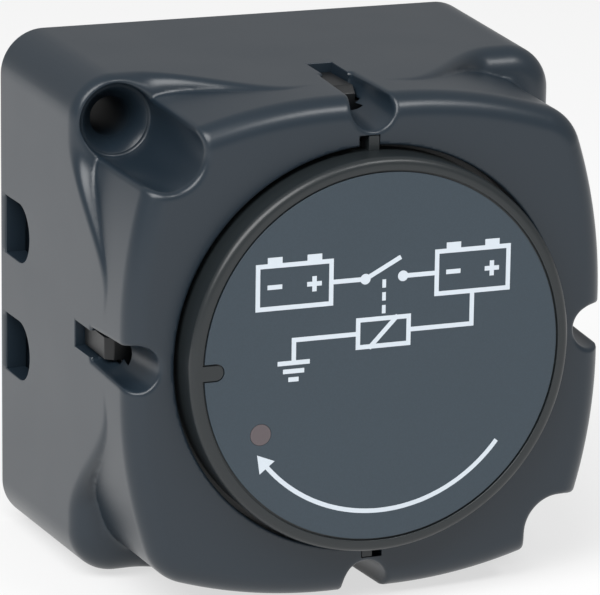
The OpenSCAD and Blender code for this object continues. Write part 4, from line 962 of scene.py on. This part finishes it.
def rear_cover():
    piece = block(-COVER_HALF, COVER_HALF, COVER_REAR, COVER_FRONT, -COVER_HALF, COVER_HALF, COVER_CORNER_R)
    change(piece, [bar(COVER_HOLE_R, -1, 3, *spot) for spot in SCREW_SPOTS])
    soften(piece, COVER_EDGE)
    return change(piece, [cover_screw_hole(*spot) for spot in COVER_SPOTS])


done(rear_cover(), "rear_cover_moulded", "relay_body", "housing_plastic", ["rear_cover"])
screws = [cover_screw(*spot) for spot in COVER_SPOTS]
only(screws[0])
screws[1].select_set(True)
bpy.ops.object.join()
done(screws[0], "cover_screws_cut", "relay_body", "screw_steel", ["cover_screws"])


# Springs, wound round the axis: the return spring, whose seat is in the core, and the contact spring, whose
# seat travels back with the bridge as the plunger is drawn in.

WIRE_R, SPRING_R = 0.25, 2.5
PLUNGER_TRAVEL, OVERTRAVEL = 2.5, 0.5


def wound_spring(rear, front, turns):
    bpy.ops.mesh.primitive_circle_add(vertices=16, radius=WIRE_R, location=(SPRING_R, -rear - WIRE_R, 0))
    piece = fresh()
    wind = piece.modifiers.new("wind", "SCREW")
    wind.axis, wind.angle, wind.iterations = "Y", 2 * math.pi, turns
    wind.screw_offset = -(front - rear - 2 * WIRE_R) / turns
    wind.steps = wind.render_steps = 32
    bpy.ops.object.modifier_apply(modifier=wind.name)
    bpy.ops.object.mode_set(mode="EDIT")
    bpy.ops.mesh.select_all(action="SELECT")
    bpy.ops.mesh.fill_holes(sides=0)
    bpy.ops.mesh.select_all(action="SELECT")
    bpy.ops.mesh.normals_make_consistent(inside=False)
    bpy.ops.object.mode_set(mode="OBJECT")
    return piece


for name, rear, front, turns, shortened, moved in (
        ("return_spring", 35.55, 43.65, 6, PLUNGER_TRAVEL, 0.0),
        ("contact_spring", 28.05, 30.95, 2, OVERTRAVEL, PLUNGER_TRAVEL - OVERTRAVEL)):
    spring = done(wound_spring(rear, front, turns), f"{name}_wound", "relay_body", "spring_steel", [name])
    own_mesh(spring)


# Floor, camera and lights
# The camera sees a white room and a floor that is nearly white and keeps the object's shadow. Both light
# the object at a plain level.

WHITE = (1, 1, 1, 1)
FLOOR_COLOUR, FLOOR_ROUGHNESS, FLOOR_SPECULAR, FLOOR_GLOW = (0.9, 0.9, 0.9, 1), 0.9, 0.1, 0.65
ROOM_LIGHT = 0.36


def mixed_by(tree, factor, plain, seen, output):
    """Mixes two shaders by a factor into the output"""
    mixed = node(tree, "ShaderNodeMixShader", (300, 0))
    for index, out in enumerate((factor, plain.outputs[0], seen.outputs[0])):
        tree.links.new(out, mixed.inputs[index])
    tree.links.new(mixed.outputs[0], tree.nodes[output].inputs["Surface"])


bpy.ops.mesh.primitive_plane_add(size=8, location=(0, 0, cad_lo.z))
floor = fresh()
floor.name = "floor"
pale = bpy.data.materials.new("pale_floor")
pale.use_nodes = True
tree = pale.node_tree
shader = tree.nodes["Principled BSDF"]
shader.inputs["Base Color"].default_value = FLOOR_COLOUR
shader.inputs["Roughness"].default_value = FLOOR_ROUGHNESS
shader.inputs["Specular IOR Level"].default_value = FLOOR_SPECULAR
glow = node(tree, "ShaderNodeEmission", (0, -300))
glow.inputs["Color"].default_value = WHITE
path = node(tree, "ShaderNodeLightPath", (-500, 300))
seen = node(tree, "ShaderNodeMath", (-300, 300), operation="MAXIMUM")
share = node(tree, "ShaderNodeMath", (-100, 300), operation="MULTIPLY")
share.inputs[1].default_value = FLOOR_GLOW
tree.links.new(path.outputs["Is Camera Ray"], seen.inputs[0])
tree.links.new(path.outputs["Is Glossy Ray"], seen.inputs[1])
tree.links.new(seen.outputs[0], share.inputs[0])
mixed_by(tree, share.outputs[0], shader, glow, "Material Output")
floor.data.materials.append(pale)

world = bpy.data.worlds.new("studio")
scene.world = world
world.use_nodes = True
tree = world.node_tree
ground = tree.nodes["Background"]
ground.inputs["Color"].default_value = WHITE
ground.inputs["Strength"].default_value = ROOM_LIGHT
bright = node(tree, "ShaderNodeBackground", (0, -200))
bright.inputs["Color"].default_value = WHITE
path = node(tree, "ShaderNodeLightPath", (-300, 300))
mixed_by(tree, path.outputs["Is Camera Ray"], ground, bright, "World Output")

# The camera was fitted to the outlines in the photograph
camera = bpy.data.objects.new("camera", bpy.data.cameras.new("camera"))
scene.collection.objects.link(camera)
camera.matrix_world = Matrix((
    (0.9307218, 0.0841128, -0.3559241, -0.2165161),
    (-0.3654859, 0.2493100, -0.8968080, -0.5692007),
    (0.0133025, 0.9647640, 0.2627803, 0.1608681),
    (0, 0, 0, 1)))
camera.data.sensor_width = 36
camera.data.lens = 272.25
camera.data.shift_x = -0.00185
camera.data.shift_y = -0.00628
camera.data.clip_start = 0.01
camera.data.clip_end = 50
scene.camera = camera


AIM = (0, -0.03, 0.03)


def softbox(name, place, size, size_y, watts, roll=0.0):
    lamp = bpy.data.lights.new(name, "AREA")
    lamp.shape = "RECTANGLE"
    lamp.size, lamp.size_y, lamp.energy = size, size_y, watts
    made = bpy.data.objects.new(name, lamp)
    scene.collection.objects.link(made)
    made.location = place
    facing = (Vector(AIM) - Vector(place)).to_track_quat("-Z", "Y")
    made.rotation_euler = (facing @ Quaternion((0, 0, 1), math.radians(roll))).to_euler()


softbox("left_box", (-0.52, -0.46, 0.74), 0.9, 0.6, 10.8, roll=35)
softbox("right_box", (0.35, -0.57, 0.79), 0.4, 0.2, 2.6)

scene.view_settings.view_transform = "Standard"
